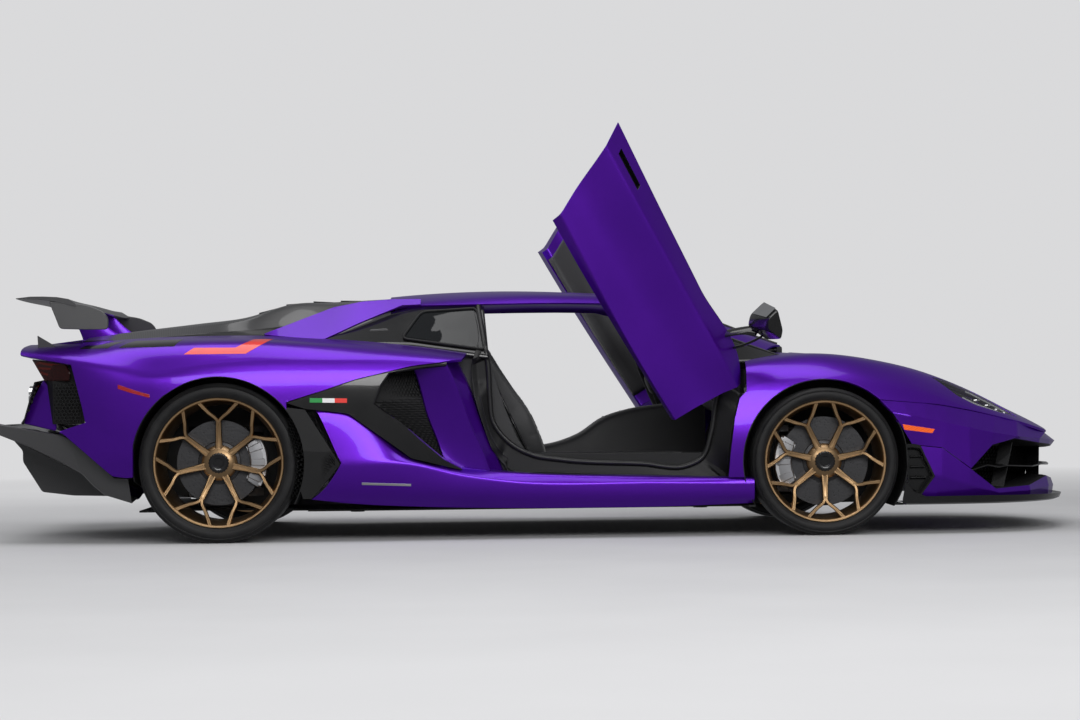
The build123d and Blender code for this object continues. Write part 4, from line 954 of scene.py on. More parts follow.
# ---------------------------------------------------------------- front panels, windscreen and doors
def make_front():
    """Bonnet, wings, nose, headlamp lenses on their trays, and side markers."""
    Shape().both(bonnet_grid()).make("bonnet_panel", "paint", "bonnet", "bonnet", wall=8, round_edge=2)
    painted_panel("wings", "front_fenders", fender_grids())
    painted_panel("nose_panel", "front_bumper", bumper_grids(), 1.5)
    lamp = FRONT.at(ladder([runs(LAMP_LOW, LAMP_STEPS), runs(LAMP_TOP, LAMP_STEPS)], [14]))
    Shape().both(lifted(lamp, -1.5)).make("headlamp_lens", "lens")
    Shape().both(lifted(lamp, -26)).make("headlamp_tray", "gloss", replaces="headlamps")
    lines = [runs([(1592, 492), (1740, 468)], (20,)), runs([(1600, 467), (1728, 450)], (20,))]
    marker = cling(bumper_grids()[0], ladder(lines, [4]), 1.6)
    Shape().both(marker).make("front_markers", "amber", wall=2.5, round_edge=0.8)


def make_windscreen():
    """Windscreen, and the small dark panes under its pillars with their seals."""
    pane = patch(ROOF, [(862, 764), (1100, 772)], [(866, 886), (1104, 795)], 6, (24,), 2.5)
    Shape().both(pane).make("pillar_panes", "gloss", wall=4)
    seal = ROOF.at(ROOF.find(runs([(862, 889), (1102, 795)], (24,))))
    closed_pair("pillar_seals", "seal", tube(seal, 5.5, up=(0, 1, 0.3), count=8))
    pane = windscreen_grid()
    Shape().both(pane).make("windscreen_pane", "glass", replaces="windscreen", merge=0.5, wall=4)
    shape = Shape().both(tube(lifted(pane, 3)[:, -1], 8, up=(0, 1, 0.3), count=8), wrap=1, caps=True)
    shape.both(tube(pane[0], 5, up=(1, 0, 0.3), count=8), wrap=1)
    shape.make("windscreen_seals", "seal", closed=True)
    apron = ladder([pane[-1] - [0, 0, 4], pane[-1] - [0, 0, 46]], [4])
    Shape().both(apron).make("cowl_apron", "satin", merge=0.5, wall=3)


def make_doors():
    """Skins with their handle slots, belt seals and padded linings."""
    grids, slot, outer, inner = door_grids()
    rows, columns = inner.shape[:2]
    u, v = np.meshgrid(np.linspace(0.06, 0.94, 60), np.linspace(0.05, 0.93, 44))
    card = inner[(v * (rows - 1)).astype(int), (u * (columns - 1)).astype(int)]
    # the card stands out from the inner face: flat edges, an arm rest along its middle and a shallow pocket
    edge = np.minimum(np.minimum(u - 0.06, 0.94 - u) * 9, np.minimum(v - 0.05, 0.93 - v) * 6).clip(0, 1)
    rest = 26 * np.exp(-((v - 0.42 + 0.12 * u) / 0.09) ** 2) * np.clip((0.8 - np.abs(u - 0.45)) * 4, 0, 1)
    pocket = -12 * np.exp(-((v - 0.75) / 0.1) ** 4 - ((u - 0.6) / 0.25) ** 4)
    card = card - np.stack([0 * u, 3 + (15 + rest + pocket) * edge ** 0.5, 0 * u], -1)
    belt = (outer[0] * 0.82 + inner[0] * 0.18)[2:-2]
    for word, side in SIDES:
        body, shape = f"door_{word}", Shape()
        for grid, tag in grids:
            shape.grid(raised(grid, side), flip=False, tag=tag)
        shape.grid(raised(slot, side), wrap=1, flip=False, tag=1)
        shape.make(f"{body}_skin", ["paint", "satin"], body, body, merge=0.4, round_edge=1.2, closed=True,
                   angle=30)
        middle = raised(outer, side).mean(axis=(0, 1))
        Shape().grid(raised(card, side), centre=middle).make(f"{body}_lining", "hide", body, wall=3)
        shape = Shape()
        for shift, size in (([0, 2, 5], 6.0), ([0, -30, 5], 7.0)):
            shape.grid(tube(raised(belt + shift, side), size, up=(1, 0, 0), squash=0.8), wrap=1, caps=True)
        shape.make(f"{body}_belt_seals", "seal", body, closed=True)
        bow = 6 + 26 * np.sin(np.linspace(0, np.pi, 26))
        pull = smooth_path(card[16, 14:40] - np.array([0, 1, 0]) * bow[:, None], 40)
        moved = tube(raised(pull, side), 8, up=(1, 0, 0), count=12)
        Shape().grid(moved, wrap=1, caps=True, centre=moved.mean(axis=(0, 1))).make(
            f"{body}_pull", "alloy", body, closed=True)


def make_rear():
    """Both haunches in one piece."""
    painted_panel("haunches", "rear_quarters", quarter_grids())


# ---------------------------------------------------------------- stage
def make_stage():
    """Pale floor, broad soft lamps, pale surroundings and the camera."""
    scene, settings = bpy.context.scene, car_settings()
    scene.view_settings.view_transform = "Standard"
    make_floor(scene)
    make_lamps(scene, settings)
    make_surroundings(scene, settings)
    make_camera(scene)


def make_floor(scene):
    """Matt floor that the paint doesn't mirror."""
    mesh = bpy.data.meshes.new("floor")
    mesh.from_pydata([(-60, -40, 0), (60, -40, 0), (60, 60, 0), (-60, 60, 0)], [], [(0, 1, 2, 3)])
    floor = bpy.data.objects.new("floor", mesh)
    mesh.materials.append(floor_finish())
    scene.collection.objects.link(floor)
    floor.visible_glossy = False


def make_lamps(scene, settings):
    """One lamp over the car and one on each side; the far one isn't mirrored in the paint."""
    for name, place, aim, size, power in (
            ("overhead", (-0.6, -1.6, 6.5), (0, 0, 0.6), (8.0, 4.5), settings.overhead),
            ("near_side", (1.0, -9.5, 4.2), (0.2, 0, 0.6), (9.0, 3.2), settings.near_side),
            ("far_side", (-2.0, 8.0, 4.5), (0, 0, 0.8), (8.0, 2.5), settings.near_side * 0.6)):
        lamp = bpy.data.lights.new(name, "AREA")
        lamp.shape, lamp.size, lamp.size_y, lamp.energy = "RECTANGLE", size[0], size[1], power
        held = bpy.data.objects.new(name, lamp)
        scene.collection.objects.link(held)
        held.location = place
        held.visible_glossy = name != "far_side"
        way = np.array(aim, float) - np.array(place, float)
        tilt, heading = math.atan2(math.hypot(way[0], way[1]), -way[2]), math.atan2(way[0], -way[1]) + math.pi
        held.rotation_euler = (tilt, 0, heading)


def make_surroundings(scene, settings):
    """Pale to the camera and through glass, and dimmer as a source of light."""
    world = bpy.data.worlds.new("surroundings")
    scene.world = world
    world.use_nodes = True
    tree = world.node_tree
    tree.nodes.clear()
    path, output = tree.nodes.new("ShaderNodeLightPath"), tree.nodes.new("ShaderNodeOutputWorld")
    seen = tree.nodes.new("ShaderNodeMath")
    seen.operation, seen.use_clamp = "ADD", True
    tree.links.new(path.outputs["Is Camera Ray"], seen.inputs[0])
    tree.links.new(path.outputs["Is Transmission Ray"], seen.inputs[1])
    mix = tree.nodes.new("ShaderNodeMixShader")
    for slot, (tone, strength) in enumerate((((0.80, 0.81, 0.84, 1), settings.world), ((*PALE, 1), 1.0))):
        glow = tree.nodes.new("ShaderNodeBackground")
        glow.inputs[0].default_value, glow.inputs[1].default_value = tone, strength
        tree.links.new(glow.outputs[0], mix.inputs[slot + 1])
    tree.links.new(seen.outputs[0], mix.inputs[0])
    tree.links.new(mix.outputs[0], output.inputs[0])


CAMERA_PLACE, CAMERA_TURNS = (-0.3415, -12.33, 0.624), (1.60, 0.87, 0.65)


def make_camera(scene):
    """Long lens from the car's right. Its turns are yaw, pitch and roll in degrees."""
    camera = bpy.data.cameras.new("side_view")
    camera.lens, camera.sensor_width, camera.clip_end = 85.0, 36.0, 200.0
    holder = bpy.data.objects.new("side_view", camera)
    scene.collection.objects.link(holder)
    yaw, pitch, roll = (math.radians(turn) for turn in CAMERA_TURNS)
    ahead = np.array([math.sin(yaw) * math.cos(pitch), math.cos(yaw) * math.cos(pitch), math.sin(pitch)])
    right = np.array([math.cos(yaw), -math.sin(yaw), 0.0])
    up = np.cross(right, ahead)
    right, up = right * math.cos(roll) - up * math.sin(roll), up * math.cos(roll) + right * math.sin(roll)
    turn = np.eye(4)
    turn[:3] = np.column_stack([right, up, -ahead, CAMERA_PLACE])
    holder.matrix_world = Matrix(turn.tolist())
    scene.camera = holder


# ---------------------------------------------------------------- sides
# Side trim: its inner edge round the intake and its outer edge, from the haunch's tip round to the sill.
TRIM_INNER = [(-440, 780), (-560, 770), (-697, 749), (-740, 690), (-768, 612), (-640, 512), (-449, 352),
              (-376, 314)]
TRIM_OUTER = [(-440, 793), (-600, 772), (-843, 717), (-1149, 619), (-1063, 591), (-880, 570), (-601, 366),
              (-376, 310)]
TRIM_STEPS = (10, 12, 12, 14, 12, 18, 10)
# Crest of the body's edge behind the door, and the second line of the door jamb: (x, y, z).
CREST = [(-441, 952, 792), (-404, 952, 713), (-361, 946, 600), (-328, 944, 505), (-266, 948, 366),
         (-243, 950, 300)]
JAMB = [(-384, 850, 796), (-345, 850, 705), (-306, 850, 600), (-274, 850, 505), (-214, 850, 366),
        (-186, 850, 300)]
FIN_REAR = [(-604, 870, 800), (-567, 872, 692), (-552, 874, 630), (-536, 876, 568), (-490, 886, 445),
            (-452, 900, 330)]
# Sill: x, then (y, z) of its inner top, its outer top edge, its crease, its side and its hem.
SILL = Skin([
    (930, [(868, 262), (958, 258), (968, 235), (962, 180), (930, 146)]),
    (512, [(868, 275), (952, 271), (975, 245), (970, 180), (936, 135)]),
    (-190, [(862, 304), (950, 300), (986, 262), (980, 190), (944, 138)]),
    (-376, [(860, 330), (958, 318), (1004, 292), (998, 200), (956, 142)]),
    (-601, [(880, 420), (984, 368), (1028, 345), (1016, 220), (968, 150)]),
    (-880, [(930, 600), (1016, 568), (1045, 348), (1030, 240), (985, 168)]),
    (-1063, [(950, 620), (1026, 588), (1044, 352), (1034, 250), (1000, 190)]),
], (1, 0.6, 0.7, 0.1, 1), 0.1)


def make_sides():
    """Intake surrounds and fins with their meshes, sills, and the markers, strips, ribbons and stripes."""
    trim = ladder([REAR.find(runs(TRIM_INNER, TRIM_STEPS)), REAR.find(runs(TRIM_OUTER, TRIM_STEPS))], [10])
    face = lifted(REAR.at(trim), -1.0)
    inner = face[0]
    hub = np.array([-560.0, 0, 610.0])
    toward = (hub - inner) * [1, 0, 1]
    toward /= np.linalg.norm(toward, axis=1, keepdims=True)
    lip = inner + toward * 7 - [0, 7, 0]
    deep = lip + toward * 4 - [0, 70, 0]
    shape = Shape().both(face)
    shape.both(ladder([inner, lip, deep], [2, 6]), centre=(-560, 1100, 600))
    shape.make("intake_surround", "gloss", replaces="intake_trims", merge=0.3)

    crest, jamb, rear = (smooth_path(line, 60) for line in (CREST, JAMB, FIN_REAR))
    crest, jamb = crest - [7, 0, 0], jamb - [10, 16, 0]
    jamb[:, 1] -= 24 * np.clip((jamb[:, 2] - 690) / 60, 0, 1)
    lip = crest + np.array([-2.0, -4.0, 0]) + [-10, 0, 0]
    fin = ladder([rear, rear + [6, 10, 0], (rear + lip) / 2 + [0, 4, 0], lip, crest], [2, 12, 12, 2])
    step = crest + [5, -70, 0]
    back = ladder([crest, crest + [5, -5, 0], step, jamb, jamb + [8, -30, 0]], [2, 6, 10, 3])
    Shape().both(fin).both(back).make("intake_fin", "paint", replaces="intake_fins", merge=0.3, angle=30)

    for name, cell, depth, sheets in (("side_intake_mesh", 17, 9,
                                       ([(-470, 968, 318), (-452, 878, 318), (-545, 862, 640),
                                         (-790, 962, 640)], [(-790, 962, 640), (-545, 862, 640),
                                                             (-598, 858, 790), (-720, 950, 790)])),
                                      ("arch_vent_mesh", 15, 8,
                                       ([(-1142, 1018, 420), (-930, 1030, 340), (-1040, 1022, 590),
                                         (-1146, 1018, 590)], [(-1142, 1004, 200), (-1040, 1000, 200),
                                                               (-930, 1030, 345), (-1142, 1018, 425)]))):
        cells_shape([honeycomb(corners, cell, 3, depth) for corners in sheets]).make(name, "satin", angle=20)

    s = np.linspace(0, 4, 49)
    end = np.where(s < 2, -1063 + (s - 0.6).clip(0) / 1.4 * 153, -910 - (s - 2) / 2 * 136)
    t = np.linspace(0, 1, 100)
    sill = SILL.at(np.stack([928 + (end[:, None] - 928) * t, np.broadcast_to(s[:, None], (49, 100))], -1))
    back = ladder([sill[:, -1], sill[:, -1] * [1, 0, 1] + np.array([30, 880, 0])], [4])
    Shape().both(sill).both(back, flip=True).make(
        "sills", "paint", replaces="side_skirts", merge=0.3, round_edge=1.5, angle=30)

    # silver strip low on each sill, ribbon on the trim, reflectors with a painted glow and stripes on the
    # haunch
    strip = patch(SILL, [(-820, 252), (-603, 243)], [(-820, 262), (-603, 253)], 3, (24,), 1.5)
    Shape().both(strip).make("sill_strips", "alloy", wall=2.5, round_edge=0.6)
    shape = Shape()
    for tag, (a, b) in enumerate(((-1046, -990), (-990, -936), (-936, -882))):
        low, high = ([(x, 628 + (x + 964) * -0.02 + h) for x in (a, b)] for h in (-10, 10))
        shape.both(patch(REAR, low, high, 3, (8,), 0.6), tag=tag)
    shape.make("trim_ribbons", ["leaf", "white", "signal"], slot="gloss_black", wall=1.5, round_edge=0.5,
               merge=0.01)
    # the reflectors' glow is a painted reflection: a reflector gives no light of its own
    mark = patch(REAR, [(-1892, 690), (-1750, 648)], [(-1892, 708), (-1750, 664)], 4, (24,), 1.2)
    Shape().both(mark).make("rear_markers", "red", wall=3, round_edge=1)
    shape = Shape()
    for tag, low, high in ((1, [(-1604, 838), (-1330, 838)], [(-1560, 868), (-1290, 866)]),
                           (1, [(-1330, 838), (-1218, 905)], [(-1420, 845), (-1300, 905)]),
                           (0, [(-1900, 872), (-1650, 876)], [(-1840, 905), (-1620, 908)]),
                           (0, [(-2080, 868), (-1950, 871)], [(-2040, 895), (-1890, 903)])):
        shape.both(patch(REAR, low, high, 6, (26,), 0.5), tag=tag)
    shape.make("haunch_stripes", ["gloss", "signal"], slot="body_paint", merge=0.01)


# ---------------------------------------------------------------- roof, rear window frame and blades
def make_roof():
    """Roof with its pillars and blades, side window frames, quarter windows with seals, and scoop vanes."""
    opening = [(300, 1062), (100, 1066), (-100, 1066), (-292, 1065), (-420, 1065), (-560, 1064), (-704, 1052)]
    steps = (14, 14, 14, 9, 10, 10)
    total = sum(steps)
    shape = Shape()
    roof = ladder([rail(452, -704, 0, 0, total), rail(472, -704, 1.6, 1.6, total),
                   ROOF.find(runs(opening, steps))], [24, 10])
    screen = ROOF.find(runs([(487, 522), (780, 556), (1096, 594)], (20, 22)), axis=0)
    screen[0] = 472, 1.6
    side = ROOF.find(runs([(300, 1062), (560, 990), (980, 812)], (20, 22)))
    shape.both(ROOF.at(roof)).both(ROOF.at(ladder([screen, side], [10])))
    upper = [(-1272, 697, 934), (-1115, 628, 996), (-961, 556, 1057), (-830, 545, 1082), (-700, 531, 1092),
             (-560, 533, 1092)]
    lower = [(-1266, 708, 929), (-1120, 728, 914), (-1007, 748, 901), (-830, 655, 985), (-646, 566, 1063),
             (-560, 563, 1066)]
    blade = ladder([runs(upper, (12, 12, 12, 12, 10)), runs(lower, (12, 12, 12, 12, 10))], [14])
    shape.both(blade)
    shape.make("roof_skin", "paint", replaces="roof_frame", merge=0.4, wall=9, round_edge=1.5)

    frame_top = [(-270, 1058), (-420, 1062), (-600, 1060), (-700, 1036), (-1000, 905)]
    frame_foot = [(-250, 815), (-420, 842), (-600, 872), (-700, 880), (-1010, 897)]
    panel = patch(ROOF, frame_foot, frame_top, 10, (14, 14, 8, 20), -7.0)
    Shape().both(panel).make("window_frames", "gloss", wall=8)
    glass = rounded([(-644, 905), (-264, 850), (-304, 1045), (-557, 1031)], 26, 6)
    ring_xs = ROOF.find(glass)
    pane = lifted(ROOF.at(ladder([ring_xs, ring_xs.mean(0) + (ring_xs - ring_xs.mean(0)) * 0.02], [6])), -3.5)
    Shape().both(pane, wrap=1).make("quarter_windows", "glass", merge=0.2)
    seal = ROOF.at(ring_xs)
    loop = tube(np.concatenate([seal, seal[:1]]), 5.5, up=(0, 1, 0.2), count=8)
    Shape().both(loop, wrap=1, centre=seal.mean(0)).make("window_seals", "satin", closed=True)
    scoop = [(-805, 905), (-790, 948), (-715, 952), (-656, 905)]
    closed_pair("scoop_vanes", "laminate", slab(scoop, 700, 690, 2, 6))


# ---------------------------------------------------------------- engine cover and tail
# Engine cover: x, then (y, z) of its middle, its shoulder, its raised edge and the foot of that edge.
COVER = Skin([
    (-706, [(0, 1108), (330, 1100), (418, 1084), (436, 1020)]),
    (-980, [(0, 1092), (330, 1088), (425, 1078), (446, 1000)]),
    (-1150, [(0, 1086), (330, 1083), (428, 1076), (452, 970)]),
    (-1395, [(0, 1024), (330, 1018), (432, 1004), (470, 950)]),
    (-1600, [(0, 1002), (330, 994), (434, 980), (560, 938)]),
    (-1927, [(0, 960), (330, 957), (440, 950), (610, 915)]),
    (-2104, [(0, 936), (330, 934), (430, 930), (560, 914)]),
], (1, 0.5, 0.9, 1), 0.06)


def make_engine_cover():
    """Cover with its valleys beside the haunches, and four louvres across it."""
    x, s = np.meshgrid(np.linspace(-706, -2104, 120), np.linspace(0, 3, 34))
    Shape().both(COVER.at(np.stack([x, s], -1))).make(
        "engine_cover_panel", "laminate", replaces="engine_cover", merge=0.3, wall=6, round_edge=1.5)
    valley_in = COVER.at(np.column_stack([np.linspace(-706, -2104, 60), np.full(60, 2.9)]))
    haunch = REAR.at(np.column_stack([np.linspace(-706, -2104, 60), np.full(60, 0.02)]))
    floor = (valley_in + haunch) / 2
    floor[:, 2] = np.minimum(valley_in[:, 2], haunch[:, 2]) - 18
    Shape().both(ladder([valley_in, floor, haunch - [0, 0, 3]], [6, 6])).make(
        "cover_valleys", "gloss", merge=0.3, wall=4)
    shape = Shape()
    for n in range(4):
        x0 = -820 - n * 128
        t = np.linspace(-1, 1, 41)
        front, back = (np.column_stack([x0 - d - 26 * np.abs(t), 300 * t, np.zeros(41)]) for d in (0, 96))
        for line, lift in ((front, 1), (back, 7)):
            on = COVER.at(COVER.find(np.column_stack([line[:, 0], np.abs(line[:, 1])]), axis=0))
            line[:, 2] = on[:, 2] + lift
        low = back + [2, 0, -13]
        shape.grid(ladder([front, back, low], [5, 2]), centre=(x0, 0, 900))
    shape.make("cover_louvres", "gloss", wall=4, round_edge=1, merge=0.2)


WING_SECTION = [(-2090, 1070), (-2100, 1083), (-2128, 1101), (-2180, 1110), (-2240, 1113), (-2298, 1113),
                (-2360, 1106), (-2362, 1103), (-2300, 1101), (-2240, 1097), (-2180, 1088), (-2120, 1072),
                (-2096, 1066)]
ENDPLATE = [(-2217, 1086), (-2120, 1078), (-2039, 1064), (-1976, 1038), (-1950, 1006), (-1953, 955),
            (-2060, 956), (-2167, 960), (-2182, 1000), (-2200, 1045)]
WING_HALF, PYLON_Y = 884, 408


def make_wing():
    """Wing plane with its endplates on two curved pylons. The plane droops by a share of its half span."""
    section = np.array(WING_SECTION, float)
    y = np.r_[np.linspace(-WING_HALF, -420, 24), np.linspace(-400, 400, 32), np.linspace(420, WING_HALF, 24)]
    out = np.abs(y) / WING_HALF
    drop = 10 * (1 - out**2) - 4 * np.cos(np.clip(out, 0, 1) * np.pi)
    plane = np.stack([np.column_stack([section[:, 0], np.full(len(section), v), section[:, 1] - d - 3])
                      for v, d in zip(y, drop)])
    shape = Shape().grid(plane, wrap=1, caps=True)
    shape.both(slab(ENDPLATE, WING_HALF, WING_HALF - 12, 3, 16, lean=(0, -0.06)), wrap=1, caps=True)
    shape.make("wing_plane", "laminate", replaces="rear_wing", closed=True, round_edge=0.8, angle=35)
    rows = []
    u = np.linspace(0, 1, 14)
    for t in np.linspace(0, 1, 26):
        # front and back edges are quadratic curves through three points of (x, z)
        front, back = (np.array([(1 - t) ** 2, 2 * t * (1 - t), t**2]) @ np.array(edge, float)
                       for edge in ([(-1880, 905), (-2010, 950), (-2118, 1070)],
                                    [(-2130, 900), (-2150, 1000), (-2240, 1090)]))
        bow = (16 - 8 * t) * np.sin(np.pi * u) ** 0.6
        line = front + (back - front) * u[:, None]
        outer, inner = (np.column_stack([line[:, 0], PYLON_Y + b, line[:, 1]]) for b in (bow / 2, -bow / 2))
        rows.append(np.concatenate([outer, inner[::-1][1:-1]]))
    closed_pair("wing_pylons", "paint", np.stack(rows))


def make_tail():
    """Deck lip and vanes, tail lamps with their glowing bars, and the painted fangs beside the mesh."""
    # deck lip between the haunches, with its upturned edge
    s = np.linspace(0, 1, 40)
    front = np.column_stack([np.full(40, -2104.0), s * 640, 930 - 14 * s])
    mid = np.column_stack([np.full(40, -2250.0), s * 612, 905 - 6 * s])
    back = np.column_stack([-2353 + 6 * s, s * 600, 899 - 3 * s])
    under = back + [8, 0, -24]
    inner = np.column_stack([np.full(40, -2262.0), s * 600, np.full(40, 868.0)])
    Shape().both(ladder([front, mid, back, under, inner], [8, 8, 3, 6])).make(
        "deck_lip", "paint", wall=6, round_edge=2, merge=0.3)
    vane = [(-2281, 934), (-2199, 884), (-2222, 864), (-2277, 866)]
    closed_pair("deck_vanes", "laminate", slab(vane, 800, 792, 1.5, 4))
    # lamp: smoked wrap-round housing, with three glowing bars that part like a Y
    lamp = rounded([(-2300, 827), (-2251, 820), (-2135, 806), (-2112, 763), (-2116, 726), (-2238, 730),
                    (-2266, 773)], 8)
    closed_pair("tail_lamp_covers", "smoke", slab(lamp, 905, 560, 4, 0, lean=(0.62, 0.0)),
                replaces="tail_lamps")
    start = (-2292, 690, 802)
    bars = ([(-2296, 600, 806), start, (-2284, 760, 790), (-2240, 838, 784), (-2150, 896, 778)],
            [start, (-2282, 770, 812), (-2236, 842, 804), (-2150, 899, 794)],
            [start, (-2272, 770, 772), (-2236, 836, 758), (-2150, 891, 752)])
    closed_pair("tail_lamp_bars", "ember", *[tube(smooth_path(path, 30), 5.0, count=8) for path in bars])
    fang = [(-2250, 736), (-2219, 703), (-2199, 656), (-2180, 570), (-2184, 504), (-2343, 540), (-2296, 650)]
    closed_pair("tail_fangs", "paint", slab(fang, 862, 842, 4, 10, lean=(0.35, -0.25)),
                replaces="rear_fascia")


# ---------------------------------------------------------------- cabin
# Seat back: centre line from the hip to the head, as (x, z), with its half width, thickness and bolsters.
BACK_LINE = [(-18, 300), (-88, 440), (-172, 620), (-236, 760), (-274, 842), (-300, 888)]
BACK_HALF, BACK_THICK = (168, 196, 204, 150, 104, 92), (86, 92, 84, 72, 58, 40)
BACK_BOLSTER = (40, 74, 84, 44, 16, 8)
# Seat cushion: the same from the knee back to the hip.
BASE_LINE = [(420, 318), (330, 296), (180, 262), (60, 244), (-40, 236)]
BASE_HALF, BASE_THICK, BASE_BOLSTER = (168, 196, 204, 204, 196), (74, 96, 104, 104, 92), (16, 46, 66, 74, 70)
SEAT_Y, WHEEL_MIDDLE, WHEEL_LEAN, WHEEL_REACH = 385.0, (560.0, 385.0, 690.0), 22.0, 172
# Rolled seal round the door opening, inside, and the jamb panel's outer edge, as (x, y, z).
SEAL_LINE = [(-296, 800, 1052), (-274, 802, 900), (-254, 803, 770), (-249, 803, 640), (-234, 803, 520),
             (-150, 803, 418), (-61, 803, 372), (74, 803, 348), (436, 803, 326), (640, 803, 314),
             (705, 803, 345), (752, 803, 460), (775, 803, 600), (800, 803, 690)]
JAMB_LINE = [(-318, 840, 1050), (-298, 846, 900), (-330, 850, 772), (-318, 850, 640), (-278, 850, 505),
             (-216, 852, 360), (-150, 864, 300), (0, 864, 290), (436, 866, 270), (640, 866, 262),
             (800, 872, 262), (812, 935, 380), (838, 940, 525), (868, 930, 640)]


def pad_grid(line, half, thick, bolster, up, channels):
    """Crowned pad as rings along a line of (x, z). Each ring is a flattened oval of half width by thickness
    whose upper side rises by the bolster height with the cube of the distance from the middle; channels are
    shallow cosine valleys across it."""
    n = 56
    t = np.linspace(0, 1, n)
    spine = smooth_path(line, n)
    w, d, b = (glide(np.linspace(0, 1, len(v)), v, t)[:, None] for v in (half, thick, bolster))
    ahead = np.gradient(spine, axis=0)
    ahead /= np.linalg.norm(ahead, axis=1, keepdims=True)
    out = np.column_stack([-ahead[:, 1], ahead[:, 0]]) * up
    a = np.linspace(0, 2 * np.pi, 64, endpoint=False)
    side, high = (np.sign(f) * np.abs(f) ** 0.55 for f in (np.cos(a), np.sin(a)))
    end = np.sqrt(np.clip(1 - (2 * t - 1) ** 14, 0.02, 1))[:, None]
    wave = 0.5 + 0.5 * np.cos(2 * np.pi * channels * t[:, None])
    valley = 7 * wave**6 * (high > 0.5) * (np.abs(side) < 0.62)
    seam = 6 * np.exp(-((np.abs(side) - 0.64) / 0.05) ** 2) * (high > 0.4)
    lift = (high * d / 2 * end + np.maximum(high, 0) * b * np.abs(side) ** 3 - valley - seam)
    y = side * w * end
    return np.stack([spine[:, :1] + out[:, :1] * lift, y, spine[:, 1:] + out[:, 1:] * lift], -1)


PUFF_STEPS, PUFF_PRESSURE, PUFF_VOXEL = 14, 4.0, 0.0085


def puff(piece, cap):
    """Inflates a closed pad a little as cloth, with no point moved further than the cap, and keeps its
    result."""
    remesh = piece.modifiers.new("even", "REMESH")
    remesh.mode, remesh.voxel_size = "VOXEL", PUFF_VOXEL
    mesh = bpy.data.meshes.new_from_object(piece.evaluated_get(bpy.context.evaluated_depsgraph_get()))
    finish = [slot.material for slot in piece.material_slots]
    piece.modifiers.clear()
    piece.data = mesh
    mesh.materials.clear()
    for material in finish:
        mesh.materials.append(material)
    start = np.empty(len(mesh.vertices) * 3)
    mesh.vertices.foreach_get("co", start)
    cloth = piece.modifiers.new("cloth", "CLOTH")
    cloth.settings.use_pressure, cloth.settings.uniform_pressure_force = True, PUFF_PRESSURE
    cloth.settings.effector_weights.gravity = 0.0
    cloth.settings.quality = 4
    cloth.point_cache.frame_start, cloth.point_cache.frame_end = 1, PUFF_STEPS
    scene = bpy.context.scene
    for step in range(1, PUFF_STEPS + 1):
        scene.frame_set(step)
    held = piece.evaluated_get(bpy.context.evaluated_depsgraph_get())
    moved = np.empty(len(start))
    held.data.vertices.foreach_get("co", moved)
    piece.modifiers.clear()
    scene.frame_set(1)
    shift = (moved - start).reshape(-1, 3)
    far = np.linalg.norm(shift, axis=1, keepdims=True)
    shift *= np.minimum(1, cap / np.maximum(far, 1e-9))
    mesh.vertices.foreach_set("co", (start.reshape(-1, 3) + shift).ravel())
    mesh.polygons.foreach_set("use_smooth", [True] * len(mesh.polygons))
    mesh.update()


def make_seats():
    """A cushion and a back pad for each seat, on a moulded shell."""
    for word, side in SIDES:
        for kind, line, half, thick, bolster, up, channels in (
                ("cushion", BASE_LINE, BASE_HALF, BASE_THICK, BASE_BOLSTER, -1, 5),
                ("back", BACK_LINE, BACK_HALF, BACK_THICK, BACK_BOLSTER, -1, 7)):
            grid = pad_grid(line, half, thick, bolster, up, channels) + [0, SEAT_Y * side, 0]
            shape = Shape().grid(grid, wrap=1, caps=True, centre=grid.mean(axis=(0, 1)))
            pad = shape.make(f"seat_{kind}_{word}", "hide", replaces="seats", closed=True, angle=60)
            puff(pad, 0.006)
        shell, halves = [], glide(np.linspace(0, 1, 6), BACK_HALF, np.linspace(0, 1, 24))
        for (x, z), half in zip(smooth_path(BACK_LINE, 24), halves):
            y = np.linspace(-half - 4, half + 4, 26)
            bend = 34 * (np.abs(y) / half) ** 3 - 52
            shell.append(np.column_stack([x + bend * 0.94, y + SEAT_Y * side, z + bend * 0.34]))
        Shape().grid(np.stack(shell), centre=(0, SEAT_Y * side, 700)).make(
            f"seat_shell_{word}", "gloss", wall=10, round_edge=3)
    rear_wall = rounded([(-80, 376), (-128, 452), (-182, 590), (-232, 740), (-284, 842), (-520, 842),
                         (-520, 376)], 12)
    Shape().grid(slab(rear_wall, 768, -768, 3), wrap=1, caps=True).make("cabin_bulkhead", "hide", closed=True)


